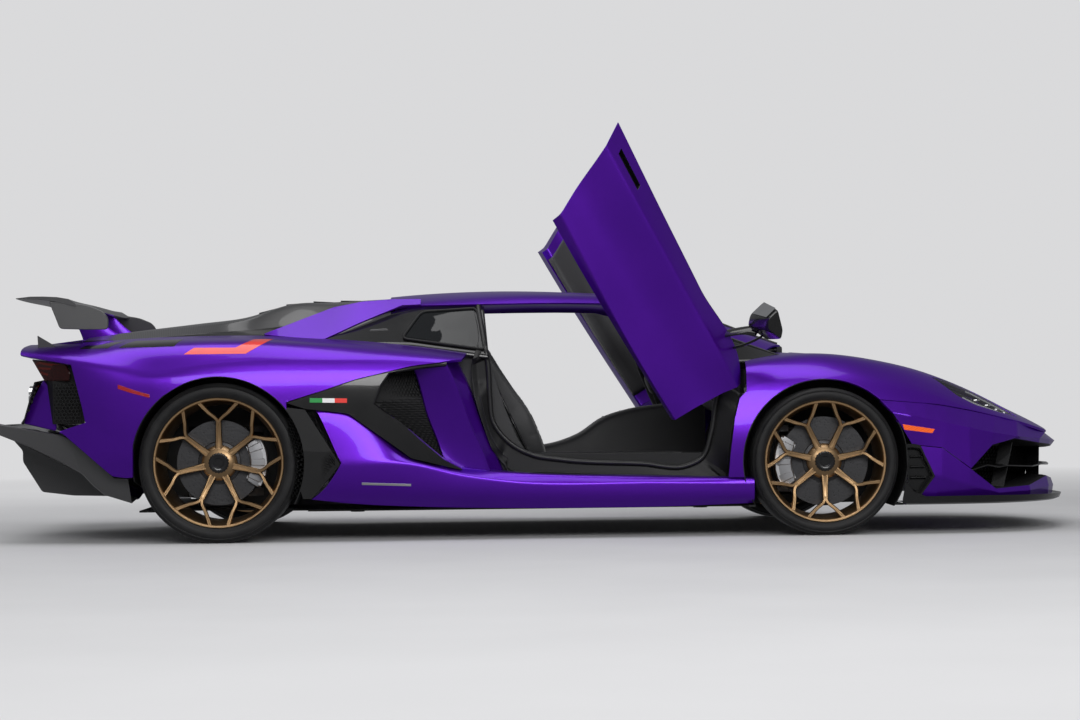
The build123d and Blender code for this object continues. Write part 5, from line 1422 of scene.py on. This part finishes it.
def make_steering_wheel():
    """Flat-bottomed rim on three spokes with its column."""
    lean = math.radians(WHEEL_LEAN)
    a = np.linspace(0, 2 * np.pi, 96, endpoint=False)
    # the rim is a circle whose lowest part is flattened
    reach = WHEEL_REACH - 26 * np.clip(-np.sin(a) - 0.72, 0, 1) / 0.28
    flat = np.stack([np.zeros(96), reach * np.cos(a), reach * np.sin(a)], -1)
    turn = np.array([[math.cos(lean), 0, math.sin(lean)], [0, 1, 0], [-math.sin(lean), 0, math.cos(lean)]])
    line = flat @ turn + np.array(WHEEL_MIDDLE)
    axle = np.array([1.0, 0, 0]) @ turn
    closed = np.concatenate([line[-2:], line, line[:3]])
    rim = tube(closed, 15, up=axle, count=14, squash=1.15)[2:-2]
    shape = Shape().grid(rim, wrap=1, centre=WHEEL_MIDDLE)
    for angle, wide in ((0, 17), (180, 17), (270, 13)):
        way = np.array([0, math.cos(math.radians(angle)), math.sin(math.radians(angle))])
        path = np.array([way * r + [4 - 6 * (r / WHEEL_REACH), 0, 0]
                         for r in np.linspace(38, 166, 12)]) @ turn
        shape.grid(tube(path + np.array(WHEEL_MIDDLE), wide, up=axle, count=12, squash=0.4), wrap=1,
                   caps=True)
    hub = np.array([(0.1, -16), (34, -15), (46, -10), (50, 4), (46, 22), (0.1, 26)], float)
    ang = np.linspace(0, 2 * np.pi, 40, endpoint=False)
    depth, radius = np.broadcast_to(hub[:, 1:], (6, 40)), hub[:, :1]
    body = np.stack([depth, radius * np.cos(ang), radius * np.sin(ang)], -1)
    shape.grid(body @ turn + np.array(WHEEL_MIDDLE), wrap=1, centre=WHEEL_MIDDLE)
    column = [(572, 385, 684), (640, 385, 656), (790, 385, 600)]
    shape.grid(tube(column, 30, count=16), wrap=1, caps=True)
    shape.make("steering_wheel_finished", "hide", replaces="steering_wheel", closed=True)


def make_dashboard():
    """One profile of (x, z) across the car, raised in a hood before the driver and dropped at its middle,
    with four vents."""
    profile = smooth_path([(1028, 602), (960, 572), (890, 560), (800, 582), (742, 628), (722, 690),
                           (742, 738), (800, 776), (880, 794), (960, 806), (1030, 800)], 60)
    y = np.linspace(-636, 636, 120)
    share = np.clip((profile[:, 1] - 700) / 90, 0, 1)
    hood = 30 * np.exp(-((y - 385) / 150) ** 4) + 8 * np.exp(-((y + 330) / 190) ** 4) - 10
    bulge = -34 * np.exp(-((y - 385) / 165) ** 4) - 26 * np.exp(-(y / 120) ** 4)
    grid = np.stack([np.column_stack([profile[:, 0] + b * (1 - np.abs(share - 0.45)) * 0.6, np.full(60, v),
                                      profile[:, 1] + h * share - 10 * np.cos(v / 640 * np.pi) * (1 - share)])
                     for v, h, b in zip(y, hood, bulge)])
    Shape().grid(grid, wrap=1, caps=True).make(
        "dashboard_finished", "hide", replaces="dashboard", closed=True, round_edge=2, angle=35)
    vents = Shape()
    for y0 in (-560, -210, 210, 560):
        outline = rounded([(-52, -26), (52, -26), (64, 6), (40, 30), (-40, 30), (-64, 6)], 8)
        ring_set = [np.column_stack([np.full(len(outline), x), [y0, 716] + outline * k])
                    for x, k in ((724, 0.86), (708, 1.0), (706, 0.96), (716, 0.86))]
        vents.grid(np.stack(ring_set), wrap=1, centre=(715, y0, 716))
        for z in (700, 712, 724, 736):
            slat = [(712, y0 - 50, z), (711, y0, z), (712, y0 + 50, z)]
            vents.grid(tube(slat, 3.2, count=8, squash=0.5), wrap=1, caps=True)
    vents.make("dash_vents", "gloss", closed=True)


def make_console():
    """Rising console between the seats with its rows of keys."""
    top = [(-500, 430), (-200, 402), (60, 408), (180, 450), (300, 528), (420, 566), (600, 592), (790, 616)]
    rows = []
    for x, z in smooth_path(top, 60):
        wide = 132 - 14 * np.clip((x - 200) / 400, 0, 1)
        chain = np.array([(-wide, z - 46), (-wide + 14, z - 12), (-wide + 40, z), (0, z - 6),
                          (wide - 40, z), (wide - 14, z - 12), (wide, z - 46)])
        rows.append(np.column_stack([np.full(7, x), chain]))
    foot = []
    for row in rows:
        arch = smooth_path(row, 40)
        ends = arch[[0, -1]] * [1, 1, 0] + [0, 0, 172]
        foot.append(np.concatenate([ends[:1], arch, ends[1:]]))
    Shape().grid(np.stack(foot)).make("console_finished", "hide", replaces="centre_console", round_edge=2,
                                      angle=35)
    keys = Shape()
    for n in range(7):
        x = 316 + n * 42
        z = np.interp(x, *np.transpose(top)) - 3
        for y0 in (-46, 0, 46):
            corners = [(x - 15, y0 - 18), (x + 15, y0 - 18), (x + 15, y0 + 18), (x - 15, y0 + 18)]
            outline = rounded(corners, 5, 4)
            ring_set = [np.column_stack([outline, np.full(len(outline), h)]) for h in (z - 8, z + 3)]
            top_ring = np.column_stack([drawn_in(outline, 2), np.full(len(outline), z + 6)])
            keys.grid(np.stack(ring_set + [top_ring]), wrap=1, caps=True, centre=(x, y0, z))
    keys.make("console_keys", "gloss", closed=True)


def make_controls():
    """Steering wheel, dashboard and centre console."""
    make_steering_wheel()
    make_dashboard()
    make_console()


def make_aperture():
    """Jamb panel and rolled seal round each door opening, pillar trims, and a kick plate on the sill."""

    def under_roof(line, depth):
        """Above the belt the roof leans in, so the line is drawn in under it."""
        high = line[:, 2] > 790
        on = ROOF.at(ROOF.find(line[high][:, [0, 2]]))
        line[high, 1] = np.minimum(line[high, 1], on[:, 1] - depth)
        return line

    door = np.concatenate([grid.reshape(-1, 3) for grid, _ in door_grids()[0]])

    def inside_door(line, gap):
        """Where the shut door passes over the line, the line is drawn in until it clears it."""
        near = np.hypot(line[:, None, 0] - door[:, 0], line[:, None, 2] - door[:, 2]) < 48
        line[:, 1] = np.minimum(line[:, 1], np.where(near, door[:, 1], np.inf).min(axis=1) - gap)
        return line

    seal = under_roof(smooth_path(SEAL_LINE, 140), 16)
    jamb = under_roof(smooth_path(JAMB_LINE, 140), 4)
    front, foot = jamb[:, :1] > 795, jamb[:, 2:] < 320
    middle = (seal * 0.35 + jamb * 0.65) * [1, 0, 1] + [0, 1, 0] * (jamb[:, 1:2] - 10)
    middle = np.where(foot, jamb + [0, -46, 4], middle)
    middle = inside_door(np.where(front, jamb + [12, -80, 0], middle), 22)
    jamb = np.where(foot, jamb - [0, 0, 10], np.where(front, jamb, inside_door(jamb.copy(), 8)))
    jamb = jamb + [24, 0, 0] * front
    Shape().both(ladder([seal, middle, jamb], [6, 5]), centre=(200, 0, 600)).make(
        "door_jambs", "satin", merge=0.2, wall=3)
    closed_pair("door_seals", "seal", tube(seal + [0, 6, 0], 12, up=(0, 1, 0), count=12),
                tube(middle[28:-8], 4, up=(0, 1, 0), count=8))
    trim = rounded([(-520, 372), (-150, 400), (-226, 520), (-250, 640), (-256, 790), (-266, 842),
                    (-520, 842)], 20)
    closed_pair("pillar_trims", "hide", slab(trim, 790, 772, 3))
    lines = [[(-40, 640, 376), (560, 640, 376)], [(-60, 780, 376), (620, 780, 376)],
             [(-60, 792, 366), (630, 792, 366)]]
    plate = ladder([runs(line, (20,)) for line in lines], [6, 2])
    Shape().both(plate, centre=(0, 700, 0)).make("kick_plates", "satin", wall=-3, round_edge=1)


# ---------------------------------------------------------------- mirrors
MIRROR_INNER = [(640, 770), (748, 813), (710, 860), (590, 896), (602, 809)]
MIRROR_OUTER = [(656, 796), (732, 824), (702, 854), (606, 886), (616, 822)]


def make_mirrors():
    """Faceted mirror shells on flat arms, worked out with the door shut and swung up with it."""
    inner, outer = rounded(MIRROR_INNER, 16), rounded(MIRROR_OUTER, 14)
    rings = []
    for y, share, size in ((1002, 0, 0.90), (1005, 0, 0.97), (1012, 0.05, 1.0), (1080, 0.4, 1.0),
                           (1150, 0.8, 1.0), (1178, 0.95, 0.97), (1188, 1, 0.90), (1190, 1, 0.6)):
        line = inner * (1 - share) + outer * share
        line = line.mean(0) + (line - line.mean(0)) * size
        rings.append(np.column_stack([line[:, 0], np.full(len(line), y), line[:, 1]]))
    shell = np.stack(rings)
    arm = sweep(smooth_path([(632, 884, 672), (640, 930, 712), (664, 985, 770), (682, 1016, 792)], 24),
                ring(1, 14), (1, 0, 0.3), np.column_stack([np.linspace(24, 28, 24), np.linspace(8, 11, 24)]))
    fin = sweep(smooth_path([(700, 890, 664), (712, 935, 708), (716, 985, 764), (714, 1012, 800)], 20),
                ring(1, 10), (1, 0, 0.3), np.column_stack([np.full(20, 9.0), np.full(20, 5.0)]))
    rows = []
    for y, share in ((1020, 0.0), (1170, 0.8)):
        line = np.array(MIRROR_INNER) * (1 - share) + np.array(MIRROR_OUTER) * share
        low, high = line[4] * 0.92 + line[3] * 0.08, line[3] * 0.92 + line[4] * 0.08
        rows.append(runs([(low[0] - 1.5, y, low[1]), (high[0] - 1.5, y, high[1])], (8,)))
    pane = ladder(rows, [12])
    for word, side in SIDES:
        shape = Shape()
        for grid in (shell, arm, fin):
            moved = raised(grid, side)
            shape.grid(moved, wrap=1, caps=True, centre=moved.mean(axis=(0, 1)))
        shape.make(f"mirror_{word}_shell", "gloss", f"door_{word}", f"mirror_{word}", closed=True,
                   round_edge=1.2, angle=30)
        Shape().grid(raised(pane, side), centre=raised(shell, side).mean(axis=(0, 1))).make(
            f"mirror_{word}_glass", "chrome", f"door_{word}")


# ---------------------------------------------------------------- front intake, splitter and lamps
INTAKE_TOP_STEPS, INTAKE_LOW_STEPS = (12, 12, 16, 10, 10, 8, 6), (20, 20, 14, 12, 8)
FRONT_VENT = [(1604, 404), (1640, 404), (1672, 398), (1738, 257), (1674, 172), (1640, 158), (1618, 200)]


def draw(line, back, inward, rise):
    """A line of the intake's mouth drawn back and in, by more towards the middle of the car."""
    t = np.linspace(0, 1, len(line))[:, None]
    shift = [back * (0.35 + 0.65 * t), 0 * t, rise * np.sin(np.pi * np.clip(t, 0, 0.5))]
    return line * [1, 1 - inward, 1] - np.concatenate(shift, 1)


def make_intakes():
    """Ducts behind the front intakes with their blades, struts and mesh."""
    top, low = runs(BUMPER_EDGE[4:], INTAKE_TOP_STEPS), runs(LIP_TOP[2:], INTAKE_LOW_STEPS)
    duct = ladder([top, draw(top, 8, 0.004, 3), draw(top, 26, 0.02, 6), draw(top, 150, 0.10, 12),
                   draw(low, 150, 0.10, -12), draw(low, 26, 0.02, -5), draw(low, 8, 0.004, -2), low],
                  [1, 2, 5, 10, 5, 2, 1])
    Shape().both(duct, flip=facing(duct, (1900, 0, 300)) > 0).make(
        "intake_ducts", "satin", replaces="intake_blades", merge=0.3)
    edge = ((top + low) / 2)[2:] + [-6, -2, -8]
    back = edge * [1, 0.95, 1] - [84, 0, -8]
    Shape().both(ladder([edge, back], [6]), centre=(2100, 0, 0)).make(
        "intake_blades_finished", "gloss", wall=7, round_edge=2.5, merge=0.2)
    # upright struts that part each mouth in three
    struts = Shape()
    for k in (30, 56):
        a, b = top[k], low[k]
        rail_a = runs([a - [52, 0, 0], b - [40, 0, 0]], (10,))
        rail_b = runs([a - [110, 10, 0], b - [100, 10, 0]], (10,))
        struts.both(ladder([rail_a, rail_b], [5]), centre=(2000, 0, 300))
    struts.make("intake_struts", "gloss", wall=8, round_edge=2.5)
    sill, head = draw(low, 120, 0.08, -8), draw(top, 120, 0.08, 8)
    sheets = [honeycomb([sill[k], sill[m], head[m], head[k]], 19, 3.2, 8)
              for k, m in ((14, 36), (36, 54), (54, 73))]
    cells_shape(sheets).make("intake_mesh", "gloss", angle=20)


def make_vents():
    """Vents behind the front intakes, each with three vanes."""
    vent = FRONT.find(rounded(FRONT_VENT, 6, 3))
    middle = vent.mean(0)
    rim_line, inset, deep, floor = (FRONT.at(middle + (vent - middle) * share) - [0, back, 0]
                                    for share, back in ((1, 0), (0.9, 0), (0.82, 34), (0.04, 30)))
    grid = ladder([rim_line - [0, 4, 0], rim_line + [0, 1, 0], inset, deep, floor], [1, 2, 4, 8])
    Shape().both(grid, wrap=1, flip=facing(grid[:3], (1650, 0, 280)) < 0).make(
        "front_vents", "gloss", merge=0.2)
    shape = Shape()
    for z in (250, 300, 350):
        line = FRONT.at(FRONT.find([(1628, z), (1660, z), (1704 - abs(z - 265) * 0.3, z)])) - [0, 8, 0]
        shape.both(ladder([runs(line, (6, 6)), runs(line - [0, 30, 10], (6, 6))], [3]), centre=(1660, 0, 0))
    shape.make("vent_vanes", "satin", wall=3, round_edge=1)


def make_splitter():
    """Plan line of (x, y) carried as a thin plate whose outer edge turns up, with a fence at each end."""
    plan = [(2471, 0), (2456, 300), (2384, 560), (2244, 778), (2064, 912), (1760, 976), (1606, 984)]
    line = smooth_path(plan, 150)
    out = np.column_stack([-np.gradient(line[:, 1]), np.gradient(line[:, 0])])
    out = -out / np.linalg.norm(out, axis=1, keepdims=True)
    out *= np.sign((out * line).sum(1, keepdims=True))
    kick = 14 * np.clip(np.linspace(0, 1, 150) * 1.6 - 0.2, 0, 1)
    rows = [np.column_stack([line - out * inset, z + kick * turned]) for inset, z, turned in
            ((260, 140, 0), (60, 141, 0), (20, 143, 0), (5, 149, 1), (0, 155, 1), (1, 150, 1), (8, 138, 0),
             (26, 131, 0), (260, 130, 0))]
    grid = ladder(rows, [4, 3, 2, 1, 1, 2, 2, 4])
    Shape().both(grid, flip=facing(grid, (1800, 0, 136)) < 0).make(
        "splitter_finished", "gloss", replaces="front_splitter", merge=0.2)
    fence = [(1588, 152), (1604, 238), (1642, 190), (1716, 160), (1880, 156), (1880, 146), (1588, 140)]
    closed_pair("splitter_fences", "gloss", slab(fence, 978, 970, 1.5, 4, lean=(-0.10, 0)))


def in_lamp(x, share):
    """Points of the wing inside the headlamp's outline, at a share of the way from its lower line up."""
    low, top = (np.interp(x, *np.transpose(line)) for line in (LAMP_LOW, LAMP_TOP))
    return FRONT.at(np.column_stack([x, low + (top - low) * share]))


def make_lamp_details():
    """Projector and reflector rings on each headlamp's tray, and its two light guides."""
    shape = Shape()
    for x, share, size in ((2110, 0.5, 17), (2070, 0.45, 20), (2022, 0.42, 22), (1968, 0.42, 22)):
        at = in_lamp(x, share)[0] - [0, 4, 16]
        ang = np.linspace(0, 2 * np.pi, 28, endpoint=False)
        steps = (size, 2), (size - 1, 8), (size - 4, 8), (size * 0.55, -2), (size * 0.5, 3), (1, 6)
        rings = [np.column_stack([at[0] + r * np.cos(ang), at[1] + r * np.sin(ang) * 0.8,
                                  np.full(28, at[2] + h)]) for r, h in steps]
        shape.both(np.stack(rings), wrap=1, centre=at - [0, 0, 10])
    shape.make("headlamp_reflectors", "chrome", merge=0.05)
    closed_pair("headlamp_guides", "guide", *[
        tube(in_lamp(np.linspace(x0, x1, 30), share) - [0, 2, 9], 3.4, count=8)
        for share, x0, x1 in ((0.16, 1900, 2140), (0.72, 1930, 2120))])


def make_nose():
    """Front intakes, the vents behind them, the splitter and the headlamps' inner parts."""
    make_intakes()
    make_vents()
    make_splitter()
    make_lamp_details()


# ---------------------------------------------------------------- brakes
CALIPER_HALF = 33  # degrees of arc on each side of a caliper's middle
FACE_INSET = 74  # the disc's outer face stands this far inside the tyre's side


def make_brakes():
    """Slotted discs with their bells, and ribbed calipers that reach over them. A caliper is a section of
    (radius, y) carried along an arc about the axle, thinner at both ends."""
    for end, hub, (middle, width, _, _), outer, centre in (("front", FRONT_HUB, FRONT_TYRE, 200.0, 180.0),
                                                           ("rear", REAR_HUB, REAR_TYRE, 190.0, 0.0)):
        face = middle + width / 2 - FACE_INSET
        profile = [(36, face + 2), (74, face + 2), (84, face - 1), (92, face - 4), (96, face - 1),
                   (outer - 1, face - 1), (outer, face - 3), (outer, face - 12), (outer - 6, face - 12),
                   (outer - 6, face - 21), (outer, face - 21), (outer, face - 31), (outer - 1, face - 33),
                   (96, face - 33), (36, face - 33)]
        a = np.radians(np.linspace(centre - CALIPER_HALF, centre + CALIPER_HALF, 67))[:, None]
        t = np.linspace(-1, 1, 67)[:, None]
        rib = 2.2 * (np.cos(t * np.pi * 3) > 0.2)
        section = [(outer - 54, face + 7), (outer - 54, face + 15), (outer - 47, face + 19.5),
                   (outer - 14, face + 19.5), (outer + 12, face + 15), (outer + 22, face + 6),
                   (outer + 22, face - 40), (outer + 14, face - 46), (outer + 7, face - 46),
                   (outer + 7, face + 5.5)]
        r, y = np.transpose(section)
        r = outer + (r - outer) * (1 - 0.18 * np.abs(t) ** 6)
        y = y + rib * [0, 0, 1, 1, 1, 0, 0, 0, 0, 0]
        caliper = np.stack([hub[0] + r * np.cos(a), y, hub[1] + r * np.sin(a)], -1)
        for word, side in SIDES:
            name, wheel = f"brake_disc_{end}_{word}", f"wheel_{end}_{word}"
            Shape().grid(revolve(profile, *hub, 160) * [1, side, 1], wrap=3, flip=side < 0).make(
                f"{name}_finished", "disc", wheel, name, closed=True, angle=30)
            body = f"knuckle_{word}" if end == "front" else "chassis"
            grid = caliper * [1, side, 1]
            Shape().grid(grid, wrap=1, caps=True, centre=grid.mean(axis=(0, 1))).make(
                f"caliper_{end}_{word}", "caliper", body, closed=True, round_edge=2, angle=30)


# ---------------------------------------------------------------- diffuser and exhausts
# Upper and lower edges of a side blade of the diffuser, as (x, y, z).
BLADE_TOP = [(-2451, 927, 537), (-2300, 926, 508), (-2150, 926, 480), (-2128, 926, 470), (-2020, 926, 376),
             (-1925, 926, 291), (-1863, 926, 287)]
BLADE_LOW = [(-2446, 927, 500), (-2300, 922, 440), (-2180, 918, 380), (-2071, 914, 318), (-2020, 914, 262),
             (-1973, 914, 223), (-1850, 914, 184)]


def make_blades():
    """Grey blades along the sides of the diffuser, with its floor and strakes."""
    lines = [runs(np.array(edge, float) - shift, (14,) * 6) for edge, shift in
             ((BLADE_TOP, (0, 120, -2)), (BLADE_TOP, (0, 6, -4)), (BLADE_TOP, (0, 0, 0)),
              (BLADE_LOW, (0, 0, 0)), (BLADE_LOW, (0, 10, 6)), (BLADE_LOW, (-8, 130, -10)))]
    grid = ladder(lines, [6, 2, 14, 2, 6])
    Shape().both(grid, centre=(-2150, 780, 400)).make(
        "diffuser_blades", "laminate", replaces="rear_diffuser", merge=0.3, wall=5, round_edge=1.2, angle=25)
    # floor: from the tail's lip down and forward to the underbody, bowed up between the strakes
    y = np.linspace(0, 900, 46)
    line = [(-2462, 532), (-2456, 518), (-2380, 470), (-2300, 418), (-2150, 340), (-1990, 262), (-1856, 196)]
    rows = [np.column_stack([np.interp(y, [0, 600, 900], [x, x + 4, x + 12 if x < -2400 else x]), y,
                             z + 10 * np.cos(y / 900 * np.pi * 4) * (x > -2440)]) for x, z in line]
    shape = Shape().both(ladder([smooth_path(r, 46) for r in rows], [2, 5, 5, 8, 8, 8]),
                         centre=(-2100, 0, 1500))
    shape.make("diffuser_floor", "gloss", merge=0.3, wall=5, round_edge=1)
    outline = [(-2448, 514), (-2450, 478), (-2392, 412), (-2392, 362), (-2304, 222), (-2160, 204),
               (-2000, 200), (-1900, 204), (-1930, 244), (-2150, 352), (-2300, 430)]
    closed_pair("diffuser_strakes", "laminate", *[slab(outline, y + 5, y - 5, 1.5, 12, lean=(0.03, 0.0))
                                                  for y in (120, 340, 560)])


def make_tail_panels():
    """Dark tail panel with its linings, and the honeycomb mesh before them."""
    valance = ladder([runs([(-2296, 862, 724), (-2284, 500, 742), (-2278, 0, 744)], (16, 20)),
                      runs([(-2350, 862, 536), (-2420, 500, 538), (-2440, 0, 538)], (16, 20))], [14])
    Shape().both(valance - [-10, 0, 0], centre=(-2000, 0, 600)).make(
        "tail_panel", "satin", replaces="rear_grille", merge=0.3, wall=6)
    # black sheet of painted shade behind the mesh beside each fang, where the opening shows only the dark
    # inside
    lining = ladder([runs([(x, y, low), (x, y, high)], (8,)) for x, y, low, high in
                     ((-2050, 950, 535, 800), (-2196, 916, 535, 800), (-2240, 840, 535, 735),
                      (-2268, 560, 538, 738))], [6, 4, 8])
    # and a black sheet of painted shade behind the open band between the lamps
    band_shade_sheet = ladder([runs([(-2236, 610, 738), (-2236, 0, 738)], (12,)),
                        runs([(-2250, 610, 886), (-2250, 0, 886)], (12,))], [6])
    Shape().both(lining - [0, 12, 0]).both(band_shade_sheet, centre=(-2000, 0, 800)).make(
        "tail_shade_sheets", "satin", merge=0.2)
    sheets = (([(-2352, 470, 548), (-2352, 150, 548), (-2290, 150, 736), (-2290, 470, 736)], 24, 4, 10),
              ([(-2332, 846, 548), (-2350, 500, 548), (-2288, 500, 736), (-2280, 846, 724)], 24, 4, 10),
              ([(-2062, 974, 540), (-2184, 948, 540), (-2184, 948, 718), (-2066, 974, 718)], 17, 3, 8))
    sheets = [honeycomb(*sheet) for sheet in sheets]
    cells_shape(sheets).make("tail_mesh", "gloss", angle=20)


def make_diffuser():
    """Diffuser with its blades and strakes, and the panels and mesh of the tail."""
    make_blades()
    make_tail_panels()


# ---------------------------------------------------------------- carried-over frame parts
DRESS = {
    "satin": ("arch_liners", "side_meshes", "cowl", "underbody", "luggage_tub", "cabin_tub"),
    "glass": ("rear_windows",),
    "steel": ("chassis_rails", "wishbones", "door_hinges"),
    "alloy": ("front_knuckle_left", "front_knuckle_right", "rear_knuckles"),
    "chrome": ("exhaust_pipes",),
    "cast": ("engine_block",),
}


def dress_frame():
    """Gives every frame part that stays in view its finish."""
    for finish, nodes in DRESS.items():
        for node in nodes:
            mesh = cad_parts[node].data
            mesh.materials.clear()
            mesh.materials.append(FINISHES[finish])


def all_finishes():
    """The car's finishes, made once and shared by every piece."""
    settings = car_settings()
    if not FINISHES:
        FINISHES.update(
            paint=pearl_paint(tuple(settings.paint)),
            gloss=plain_black("gloss_black", 0.006, 0.2, 0.7, 900.0),
            satin=plain_black("satin_black", 0.009, 0.5, 0.0, 700.0),
            laminate=woven_laminate("grey_laminate", (0.022, 0.022, 0.024), (0.06, 0.06, 0.062), 0.3, 0.006),
            glass=smoked_glass("smoked_glass", (0.008, 0.009, 0.01), 0.95),
            lens=smoked_glass("clear_lens", (0.02, 0.02, 0.023), 0.3),
            # red of the haunch reflectors, whose glow is a painted reflection
            red=lamp_glass("glowing_red_reflector", (0.35, 0.01, 0.012), 0.25),
            amber=lamp_glass("amber_lens", (0.9, 0.12, 0.015), 0.45),
            hide=grained_hide("black_hide", (0.012, 0.012, 0.013)),
            steel=metal("plain_steel", (0.32, 0.32, 0.33), 0.42, brushed=0.5),
            alloy=metal("bare_alloy", (0.55, 0.55, 0.56), 0.38),
            chrome=metal("bright_metal", (0.75, 0.75, 0.76), 0.12),
            cast=metal("cast_alloy", (0.2, 0.2, 0.21), 0.55),
            rim=metal("gold_bronze", tuple(settings.rims), 0.34, coat=0.25),
            tyre=tyre_rubber(),
            smoke=smoked_glass("smoked_red", (0.02, 0.003, 0.003), 0.93),
            ember=lamp_glass("ember_bar", (0.95, 0.07, 0.02), 0.9),
            leaf=plain_colour("green_band", (0.01, 0.28, 0.05)),
            white=plain_colour("white_band", (0.8, 0.8, 0.8)),
            signal=plain_colour("red_band", (0.78, 0.03, 0.02)),
            caliper=metal("silver_caliper", (0.3, 0.3, 0.31), 0.4),
            seal=plain_black("seal_rubber", 0.01, 0.4, 0.15, 1200.0),
            guide=lamp_glass("white_guide", (0.85, 0.87, 0.9), 0.35),
            disc=brake_ring("dark_disc", (0.03, 0.03, 0.032)),
        )


# ---------------------------------------------------------------- settings, operators and panel
class CarSettings(bpy.types.PropertyGroup):
    """Sizes and colours of the car and its stage."""

    paint: bpy.props.FloatVectorProperty(name="Paint", description="Base colour of the pearl coat",
                                         subtype="COLOR", size=3, min=0, max=1, default=(0.088, 0.004, 0.42))
    rims: bpy.props.FloatVectorProperty(name="Rims", description="Colour of the satin rims", subtype="COLOR",
                                        size=3, min=0, max=1, default=(0.42, 0.27, 0.14))
    spokes: bpy.props.IntProperty(name="Spokes", description="Split spokes on each rim", default=7, min=3,
                                  max=14)
    spread: bpy.props.FloatProperty(name="Spoke spread",
                                    description="Angle from a spoke's line to each of its two arms",
                                    unit="ROTATION", default=math.radians(17.6))
    overhead: bpy.props.FloatProperty(name="Overhead lamp",
                                      description="Power of the soft lamp over the car, in watts",
                                      default=270.0, min=0)
    near_side: bpy.props.FloatProperty(name="Side lamp",
                                       description="Power of the soft lamp beside the car, in watts",
                                       default=530.0, min=0)
    world: bpy.props.FloatProperty(name="Surroundings", description="Strength of the light from all round",
                                   default=0.24, min=0)


def operator(build, label, words):
    """An operator class that runs one building function."""

    def execute(self, context):
        all_finishes()
        build()
        return {"FINISHED"}

    parts = {"bl_idname": f"car.{build.__name__}", "bl_label": label, "__doc__": words, "execute": execute}
    return type(f"CAR_OT_{build.__name__}", (bpy.types.Operator,), parts)


OPERATORS = [operator(*row) for row in (
    (make_stage, "Stage", "Adds the floor, lamps, surroundings and camera."),
    (dress_frame, "Frame parts", "Gives the frame's own parts their finishes."),
    (make_front, "Front body", "Builds the bonnet, wings, nose and headlamps."),
    (make_windscreen, "Windscreen", "Builds the windscreen with its seals and apron."),
    (make_roof, "Roof", "Builds the roof, its pillars, blades and rear windows."),
    (make_sides, "Sides", "Builds the side intakes, sills, meshes, markers and stripes."),
    (make_engine_cover, "Engine cover", "Builds the engine cover with its louvres."),
    (make_wing, "Rear wing", "Builds the wing, its endplates and its pylons."),
    (make_tail, "Tail", "Builds the deck lip, tail lamps and fangs."),
    (make_diffuser, "Diffuser", "Builds the diffuser, its blades and strakes, and the tail's mesh."),
    (make_nose, "Nose details", "Builds the intakes, vents, splitter and lamp details."),
    (make_brakes, "Brakes", "Builds the brake discs and calipers."),
    (make_seats, "Seats", "Builds the padded seats on their shells, and the bulkhead."),
    (make_controls, "Cabin", "Builds the steering wheel, dashboard and console."),
    (make_aperture, "Door openings", "Builds the jambs and seals round the door openings."),
    (make_mirrors, "Mirrors", "Builds the door mirrors."),
    (make_doors, "Doors", "Builds both raised doors."),
    (make_rear, "Rear body", "Builds the haunches."),
    (make_wheels, "Wheels", "Builds the tyres, rims and hub caps."),
)]


class CAR_PT_panel(bpy.types.Panel):
    """Lists the settings and the builders."""

    bl_label, bl_idname = "Sports car", "CAR_PT_panel"
    bl_space_type, bl_region_type, bl_category = "VIEW_3D", "UI", "Sports car"

    def draw(self, context):
        for name in CarSettings.__annotations__:
            self.layout.prop(context.scene.sports_car, name)
        for made in OPERATORS:
            self.layout.operator(made.bl_idname)


CLASSES = [CarSettings, *OPERATORS, CAR_PT_panel]


def register():
    for made in CLASSES:
        bpy.utils.register_class(made)
    bpy.types.Scene.sports_car = bpy.props.PointerProperty(type=CarSettings)


def unregister():
    del bpy.types.Scene.sports_car
    for made in reversed(CLASSES):
        bpy.utils.unregister_class(made)


def main():
    register()
    for made in OPERATORS:
        group, name = made.bl_idname.split(".")
        getattr(getattr(bpy.ops, group), name)()
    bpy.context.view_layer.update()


if __name__ == "__main__":
    main()
